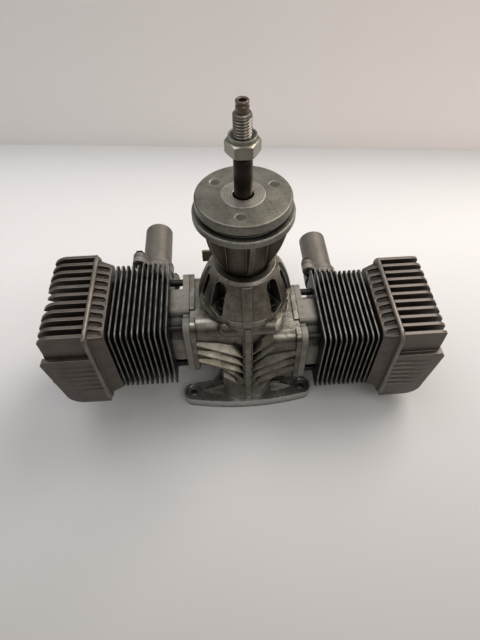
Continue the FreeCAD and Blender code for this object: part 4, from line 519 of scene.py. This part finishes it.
# Die-cast zinc: a paler, bluer grey than aluminium, satin all over.
finishes["carb_alloy"] = metal("die-cast zinc", "#8b8983", "#9c9a94", 0.8, 0.45, TURNED_GRAIN, 0.3)
# Pressed steel keeps the sheet's rolled skin: bright, with long soft highlights.
finishes["cover_steel"] = metal("pressed steel cover", "#918e87", "#a5a29a", 0.9, 0.35, TURNED_GRAIN, 0.1)
print("castings:", len(finishes))

# %% [markdown]
# Steel fittings are small, so one tone with hardly any mottle would do.  They still go through
# the same function, because dirt and painted shade round a screw head and a worn corner with a
# painted highlight are what make it look fastened down.  Plastics, rubber and fibre use it as well, with no
# metal in them.

# %% Steels, brass and the rest
# Zinc plating gone dull: a soft olive grey with bright corners, worn and with a painted highlight.
finishes["zinc_steel"] = metal(
    "dulled zinc on steel", "#767466", "#969388", 0.85, 0.34, TURNED_GRAIN, 0.15, grime_and_shade_mm=3.0,
    edge="#b9b5aa")
# Black oxide lets the steel's gloss through a brown-black film.
finishes["shaft_steel"] = metal("black oxide steel", "#2b2723", "#3a352f", 0.7, 0.35, TURNED_GRAIN, 0.1)
# Black oxide screws: their paler edges are wear and painted highlight.
finishes["black_steel"] = metal(
    "black oxide screws", "#191715", "#262321", 0.6, 0.38, TURNED_GRAIN, 0.1, edge="#5a5650")
# Ground and polished steels differ only in how sharp a reflection they keep.
finishes["bright_steel"] = metal("ground steel", "#a19d95", "#b8b4ab", 0.95, 0.28, TURNED_GRAIN, 0.05)
finishes["bearing_steel"] = metal(
    "polished bearing steel", "#b5b3ae", "#c9c7c2", 1.0, 0.15, TURNED_GRAIN, 0.02)
# Yellow passivation is a thin film that turns zinc olive and gold.
finishes["yellow_zinc"] = metal("yellow passivated steel", "#6b6850", "#7d7860", 0.7, 0.4, TURNED_GRAIN, 0.1)
finishes["brass_fitting"] = metal("turned brass", "#a5853f", "#b8964c", 0.95, 0.3, TURNED_GRAIN, 0.05)
# Fibre, phenolic, nylon and rubber are not metals: a plain tone, matt to satin.
finishes["gasket_paper"] = metal("fibre gasket", "#3b3630", "#4a443c", 0.0, 0.85, TURNED_GRAIN, 0.3)
finishes["phenolic"] = metal("pressed phenolic", "#3a2618", "#4b3322", 0.0, 0.5, TURNED_GRAIN, 0.2)
finishes["nylon"] = metal("nylon ring", "#2a2d30", "#33373b", 0.0, 0.45, TURNED_GRAIN, 0.1)
finishes["seal_rubber"] = metal("moulded nitrile", "#161514", "#1f1d1c", 0.0, 0.6, TURNED_GRAIN, 0.2)
print("finishes by slot:", len(finishes))

# %% [markdown]
# Four pieces share a metal with others but not its history: the thrust ring is rubbed, with a
# painted highlight on its rim, the nose is flung with oil and painted with deep shade between its
# struts, and each cylinder's coat follows its own fins, with painted shade between them.  They get
# a finish by name, and every other piece takes the one of its slot.


# %% Pieces with a finish of their own
def black_coat(name, axis_z):
    """Baked black coat, darkened with painted shade between the fins, grey where their rims are rubbed."""
    return metal(name, "#12110f", "#1d1b18", 0.25, 0.5, TURNED_GRAIN, 0.2, grime_and_shade="#050404", grime_and_shade_mm=5.0,
                 grime_and_shade_share=0.95, zones=[fin_rims(axis_z)])


own_finishes = {
    # A faced steel ring, rubbed by every propeller: bright, with a brighter rim of wear and painted
    # highlight.
    "thrust_ring": metal("faced and rubbed ring", "#a09c92", "#bcb8ae", 0.95, 0.40, TURNED_GRAIN, 0.15,
                         grime_and_shade_mm=1.0, grime_and_shade_share=0.4, edge="#e0dcd2", edge_mm=0.4, zones=[turned_circles]),
    # The nose is the same casting as the case, but the driver above flings oil all over it; its corners
    # between the struts take dirt and deep painted shade.
    "nose_housing": metal("oily die-cast nose", "#635f56", "#89857b", 0.85, 0.34, CAST_GRAIN, 0.6,
                          grime_and_shade="#17110a", grime_and_shade_mm=7.0, grime_and_shade_share=0.95, edge="#b5b1a6", edge_mm=0.5,
                          edge_share=0.5, fleck=0.3, zones=[oily]),
    "cylinder_left": black_coat("black coat, left cylinder", LEFT_AXIS),
    "cylinder_right": black_coat("black coat, right cylinder", RIGHT_AXIS),
}
for part in frame["record"]["subparts"]:
    node = nodes[part["node"]]
    finish = own_finishes.get(part["node"]) or finishes.get(part["material_slot"], finishes["bright_steel"])
    for slot in node.material_slots:
        slot.material = finish
    if not node.material_slots:
        node.data.materials.append(finish)
print("pieces with a finish of their own:", len(own_finishes))

# %% [markdown]
# ## The propeller shaft's thread
#
# The shaft is a ground bar, black where it was hardened, with an M8 thread rolled above the
# driver and a stepped pilot at its tip.  A thread could be a helix swept with a screw modifier,
# but a surface of (height, angle) says it better: its radius is the bar's radius, less a
# triangular groove whose place moves up one pitch for each turn.

# %% Shaft surface
THREAD_START, THREAD_END = 163.0, 183.6
THREAD_PITCH, THREAD_DEPTH, THREAD_CREST = 1.25, 0.66, 3.9
V_STEEPNESS, CREST_SHARE = 1.25, 0.12           # steeper than a plain wave, with a flat on each crest
THREAD_RUNOUT = 0.4                             # the groove ends this far below the thread's end
LEAD_IN, LEAD_DEPTH = 0.7, 0.6                  # height and depth of the chamfer that starts a nut
SHAFT_R, PILOT_R = 4.1, 2.7
PILOT_GROOVE, GROOVE_Z, GROOVE_HALF = 0.35, 186.7, 0.35
EDGE_BREAK, TIP_BREAK = 0.4, 0.3                # chamfers at the foot and at the tip
STEP = 0.01                                     # two rings this close make a sharp step
SHAFT_SIDES = 72
BRIGHT_FROM, BRIGHT_FULL = 3.5, 5.0             # above the thread's start, its crests are worn bright
TEMPER_FROM, TEMPER_FULL = -0.2, 0.4            # about the thread's end, the pilot is tempered brown
JOURNAL_R, SEAT_R = 7.5, 6.0                    # in the front bearing and under the driver
SHAFT_FOOT, SEAT_START, SEAT_END = 69.9, 90.95, 139.0
SHAFT_TIP = 188.4
CENTRE_R, CENTRE_DEPTH = 1.5, 6.0


def mesh_object(name, points, faces, body, finish):
    """Object at the origin from arrays of points (in millimetres) and faces."""
    mesh = bpy.data.meshes.new(name)
    mesh.from_pydata((np.asarray(points) * mm).tolist(), [], [tuple(f) for f in faces])
    mesh.validate()
    mesh.update()
    mesh.shade_smooth()
    mesh.set_sharp_from_angle(angle=math.radians(38))
    piece = bpy.data.objects.new(name, mesh)
    scene.collection.objects.link(piece)
    mesh.materials.append(finish)
    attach(piece, body)
    return piece


def wrapped_grid(rows, columns):
    """Quads of a grid whose columns close on themselves; rows run from the foot up."""
    row, column = np.meshgrid(np.arange(rows - 1), np.arange(columns), indexing="ij")
    a = row * columns + column
    b = row * columns + (column + 1) % columns
    return np.stack([a, b, b + columns, a + columns], axis=-1).reshape(-1, 4).tolist()


def capped_grid(rows, columns):
    """The same grid with one face on its first ring and one on its last, so that it is closed."""
    last = (rows - 1) * columns
    ends = [list(range(columns))[::-1], list(range(last, last + columns))]
    return wrapped_grid(rows, columns) + ends


def shaft_radius(z, angle):
    """Radius at height z and angle: the bar, the thread's V, the pilot and its groove.

    The V is a triangle wave of (z / pitch - angle / turn), faded in and out over one pitch.
    """
    wave = np.abs(2 * ((z - THREAD_START) / THREAD_PITCH - angle / (2 * np.pi)) % 2 - 1)
    fade = np.clip(np.minimum(z - THREAD_START, THREAD_END - THREAD_RUNOUT - z) / THREAD_PITCH, 0, 1)
    thread = THREAD_CREST - THREAD_DEPTH * np.clip(V_STEEPNESS * wave - CREST_SHARE, 0, 1) * fade
    pilot = PILOT_R - PILOT_GROOVE * np.exp(-((z - GROOVE_Z) / GROOVE_HALF) ** 2)
    lead_in = np.clip((THREAD_END - z) / LEAD_IN, 0, 1)
    low = np.where(z < THREAD_START, SHAFT_R, thread - (1 - lead_in) * LEAD_DEPTH)
    return np.where(z < THREAD_END, low, pilot)


# Heights of the rings: few on the plain bar, ten to a pitch on the thread, close in the groove.
shaft_z = np.concatenate([
    [SEAT_END + STEP, 155.0, THREAD_START - 0.3], np.arange(THREAD_START, THREAD_END, THREAD_PITCH / 10),
    [THREAD_END - STEP, THREAD_END + STEP, 184.6, 185.6],
    np.linspace(GROOVE_Z - 2 * GROOVE_HALF, GROOVE_Z + 2 * GROOVE_HALF, 15), [SHAFT_TIP - TIP_BREAK]])
angles = np.linspace(0, 2 * np.pi, SHAFT_SIDES, endpoint=False)
# (radius, height) of the plain steps below the bar, and of the tip with its centre hole.
foot = [(JOURNAL_R - EDGE_BREAK, SHAFT_FOOT), (JOURNAL_R, SHAFT_FOOT + EDGE_BREAK), (JOURNAL_R, SEAT_START),
        (SEAT_R, SEAT_START), (SEAT_R, SEAT_END), (SHAFT_R, SEAT_END)]
tip = [(PILOT_R - TIP_BREAK, SHAFT_TIP), (CENTRE_R + TIP_BREAK, SHAFT_TIP), (CENTRE_R, SHAFT_TIP - TIP_BREAK),
       (CENTRE_R, SHAFT_TIP - CENTRE_DEPTH)]


def shaft_rings():
    """Rings of points from the foot to the bottom of the centre hole."""
    z_grid, angle_grid = np.meshgrid(shaft_z, angles, indexing="ij")
    r_grid = shaft_radius(z_grid, angle_grid)
    plain = [[np.full((1, angles.size), value) for value in pair] for pair in foot + tip]
    low, high = plain[:len(foot)], plain[len(foot):]
    r_all = np.concatenate([r for r, z in low] + [r_grid] + [r for r, z in high])
    z_all = np.concatenate([z for r, z in low] + [z_grid] + [z for r, z in high])
    turn_all = np.broadcast_to(angles, r_all.shape)
    return np.stack([r_all * np.cos(turn_all), r_all * np.sin(turn_all), z_all], axis=-1)


def worked_shaft(tree, place, colour):
    """Black bar, bright thread and a brown tempered pilot, told apart by height."""
    z = axes_of(tree, place)[2]
    threaded = add(tree, "MapRange", z, THREAD_START + BRIGHT_FROM, THREAD_START + BRIGHT_FULL)
    colour = add(tree, "MixRGB", threaded, colour, "#7d786f")
    tempered = add(tree, "MapRange", z, THREAD_END + TEMPER_FROM, THREAD_END + TEMPER_FULL)
    return add(tree, "MixRGB", tempered, colour, "#665a4f")


shaft_finish = metal("black oxide bar, rolled thread", "#2a2521", "#38322c", 0.85, 0.34, TURNED_GRAIN, 0.1,
                     grime_and_shade_mm=0.5, grime_and_shade_share=0.6, edge_mm=0.12, zones=[worked_shaft])
rings = shaft_rings()
shaft_faces = capped_grid(len(rings), angles.size)
shaft = mesh_object("shaft_with_thread", rings.reshape(-1, 3), shaft_faces, "rotor", shaft_finish)
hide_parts("prop_shaft")
print("thread turns:", round((THREAD_END - THREAD_START) / THREAD_PITCH, 1))

# %% [markdown]
# ## Beads round the rims of the heads
#
# Between its fins and its skirt each head has a rim cast as a round bead, and the light runs
# along it.  A curve with a bevel would do, but here the bead is worked out: a small circle
# carried round the rim's outline, a rectangle with round corners.  In front it goes outside the
# panel.

# %% Rim beads
RIM_X, BEAD_R = 82.4, 1.3
BEAD_FRONT, BEAD_BACK, BEAD_HALF_Z = -30.6, 29.4, 30.5
BEAD_CORNER = 5.0
CORNER_STEPS, BEAD_SIDES = 10, 16
RIM_STANDS_OUT = 0.3                    # the solid's rim lies this far outside the bead's path


def rim_path():
    """(y, z) round the rim and the way out at each point: four quarter circles, joined by runs."""
    turn = np.concatenate([np.linspace(k, k + 1, CORNER_STEPS) for k in range(4)]) * np.pi / 2
    out = np.stack([np.cos(turn), np.sin(turn)], axis=-1)
    quarter = np.repeat(np.arange(4), CORNER_STEPS)
    inner_y = np.where((quarter == 0) | (quarter == 3), BEAD_BACK - BEAD_CORNER, BEAD_FRONT + BEAD_CORNER)
    inner_z = np.where(quarter < 2, BEAD_HALF_Z - BEAD_CORNER, BEAD_CORNER - BEAD_HALF_Z)
    return np.stack([inner_y, inner_z], axis=-1) + BEAD_CORNER * out, out


def rim_bead(name, side, axis_z):
    """Bead = path + r * (cos(a) * way out, sin(a) * x): a tube that closes both ways."""
    path, out = rim_path()
    a = np.linspace(0, 2 * np.pi, BEAD_SIDES, endpoint=False)[None, :]
    across = path[:, None, :] + BEAD_R * np.cos(a)[..., None] * out[:, None, :]
    x = side * (RIM_X + BEAD_R * np.sin(a)) + 0 * across[..., 0]
    points = np.stack([x, across[..., 0], axis_z + across[..., 1]], axis=-1)
    rows, columns = x.shape
    faces = np.array(wrapped_grid(rows + 1, columns)) % (rows * columns)
    faces = faces[:, ::-side].tolist()
    # The bead takes the paler enamel: rubbing and a painted highlight.
    piece = mesh_object(name, points.reshape(-1, 3), faces, "engine", finishes["rubbed_enamel"])
    return piece


rim_bead("rim_bead_left", -1, LEFT_AXIS)
rim_bead("rim_bead_right", 1, RIGHT_AXIS)
print("beads stand proud of the rim by", BEAD_R - RIM_STANDS_OUT, "mm")

# %% [markdown]
# ## The front of the left head
#
# The ridged panel stands in front of the fins and leaves the first fin bare above it, on both
# heads.  The solid of the left head has its panel the other way up.  So that head is copied, its
# triangles are joined, its panel is cut away by a boolean, and a new panel is set in front of
# the fin the right way up.

# %% Left head without its panel
PANEL_Y, FIN_FACE_Y = -31.4, -29.0
PANEL_START, PANEL_TIP, PANEL_REACH = 82.0, 106.2, 110.4
PANEL_FOOT, PANEL_TOP = -30.8, 13.5
PANEL_ROUND = 9.0
PANEL_CHAMFER = (1.8, 3.0)              # in x and z, at the top corner
PANEL_SUNK = 0.2                        # the panel's back lies this far inside the fin
ROUND_STEPS = 9
CUT_START, CUT_END, CUT_HALF_Z = 83.4, 113.0, 32.5
CUT_FRONT = 2.0                         # the cut starts this far in front of the panel
SAME_PLACE = 1e-7                       # metres within which two corners are one


def plain_box(name, low, high):
    """Closed box between two corners, in millimetres."""
    corners = np.stack(np.meshgrid(*zip(low, high), indexing="ij"), axis=-1).reshape(-1, 3)
    faces = [(0, 1, 3, 2), (4, 6, 7, 5), (0, 4, 5, 1), (2, 3, 7, 6), (0, 2, 6, 4), (1, 5, 7, 3)]
    mesh = bpy.data.meshes.new(name)
    mesh.from_pydata((corners * mm).tolist(), [], faces)
    box = bpy.data.objects.new(name, mesh)
    scene.collection.objects.link(box)
    return box


def head_without_panel():
    """The left head's solid less a box that holds its panel."""
    mesh = nodes["head_left"].data.copy()
    joined = bmesh.new()
    joined.from_mesh(mesh)
    bmesh.ops.remove_doubles(joined, verts=joined.verts, dist=SAME_PLACE)
    joined.to_mesh(mesh)
    joined.free()
    draft = bpy.data.objects.new("head_draft", mesh)
    scene.collection.objects.link(draft)
    cutter = plain_box("cutter", (-CUT_END, PANEL_Y - CUT_FRONT, LEFT_AXIS - CUT_HALF_Z),
                       (-CUT_START, FIN_FACE_Y, LEFT_AXIS + CUT_HALF_Z))
    cut = draft.modifiers.new("cut", "BOOLEAN")
    cut.operation, cut.solver, cut.object = "DIFFERENCE", "EXACT", cutter
    view = bpy.context.evaluated_depsgraph_get()
    result = bpy.data.meshes.new_from_object(draft.evaluated_get(view))
    bpy.data.objects.remove(draft)
    bpy.data.objects.remove(cutter)
    return result


cut_head = head_without_panel()
head_points = np.array([vertex.co for vertex in cut_head.vertices]) / mm
head_faces = [tuple(face.vertices) for face in cut_head.polygons]
left_head = mesh_object("head_with_bare_fin", head_points, head_faces, "engine", finishes["head_paint"])
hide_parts("head_left")
bpy.data.meshes.remove(cut_head)
print("left head:", len(nodes["head_left"].data.polygons), "triangles, then", len(head_faces), "faces")

# %% [markdown]
# The new panel is a flat slab with the outline of the other head's: it reaches out at its top
# corner and is cut back round at its foot.  A box with bevels could be trimmed to it, but the
# outline is short enough to be told as one line of corners, with its round as an arc.


# %% New panel for the left head
def panel_outline():
    """(x, z) of the panel: round at its foot, reaching out towards its chamfered top."""
    turn = np.linspace(-np.pi / 2, 0, ROUND_STEPS)
    foot_x = PANEL_TIP - PANEL_ROUND * (1 - np.cos(turn))
    foot_z = PANEL_FOOT + PANEL_ROUND * (1 + np.sin(turn))
    x = np.concatenate([[PANEL_START], foot_x, [PANEL_REACH, PANEL_REACH - PANEL_CHAMFER[0], PANEL_START]])
    z = np.concatenate([[PANEL_FOOT], foot_z, [PANEL_TOP - PANEL_CHAMFER[1], PANEL_TOP, PANEL_TOP]])
    return x, z


def front_panel(name, side, axis_z):
    """Slab = the outline at the fin's face and again at the panel's face."""
    x, z = panel_outline()
    rows = [np.stack([side * x, np.full(x.size, y), axis_z + z], axis=-1)
            for y in (FIN_FACE_Y + PANEL_SUNK, PANEL_Y)]
    faces = [face[::side] for face in capped_grid(2, x.size)]
    piece = mesh_object(name, np.concatenate(rows), faces, "engine", finishes["head_paint"])
    return piece


front_panel("front_panel_left", -1, LEFT_AXIS)
print("panel stands", round(FIN_FACE_Y - PANEL_Y, 2), "mm in front of the fins")

# %% [markdown]
# ## Ridges on the front panels
#
# Each panel is cast with six low ridges that start at the rim and die out towards the tip.  The
# solids have short ones, so the full length is drawn here: a ridge is an oval bar sunk half into
# the panel, whose thickness falls from the rim to the tip.

# %% Panel ridges
RIDGE_RISE, RIDGE_HALF = 0.55, 0.95
RIDGE_START, RIDGE_END = 83.0, 105.5
RIDGE_TOP, RIDGE_PITCH, RIDGE_COUNT = 6.5, 4.6, 6
RIDGE_CUT_BACK = 1.1        # each ridge below the third ends this much sooner
RIDGE_ROWS, RIDGE_SIDES = 24, 16
RIDGE_BLUNT = 1.02          # a little over one, so that a ridge ends blunt and not in a point


def ridge_tube(x_end, z):
    """Oval bar: size = (blunt - t)^0.5, y = face - rise * size * cos(a), z = z + half * size * sin(a)."""
    t = np.linspace(0, 1, RIDGE_ROWS)[:, None]
    a = np.linspace(0, 2 * np.pi, RIDGE_SIDES, endpoint=False)[None, :]
    size = np.sqrt(np.clip(RIDGE_BLUNT - t, 0, 1))
    x = RIDGE_START + t * (x_end - RIDGE_START) + 0 * a
    return np.stack([x, PANEL_Y - RIDGE_RISE * size * np.cos(a), z + RIDGE_HALF * size * np.sin(a)], axis=-1)


def panel_ridges(name, side, axis_z):
    """Six closed bars on one panel."""
    points, faces = [], []
    for k in range(RIDGE_COUNT):
        tube = ridge_tube(RIDGE_END - RIDGE_CUT_BACK * max(0, k - 2), RIDGE_TOP - RIDGE_PITCH * k)
        for face in capped_grid(tube.shape[0], tube.shape[1]):
            faces.append([len(points) + corner for corner in face][::-side])
        points += (tube * [side, 1, 1] + [0, 0, axis_z]).reshape(-1, 3).tolist()
    piece = mesh_object(name, points, faces, "engine", finishes["head_paint"])
    return piece


panel_ridges("panel_ridges_left", -1, LEFT_AXIS)
panel_ridges("panel_ridges_right", 1, RIGHT_AXIS)
print("ridges:", 2 * RIDGE_COUNT)
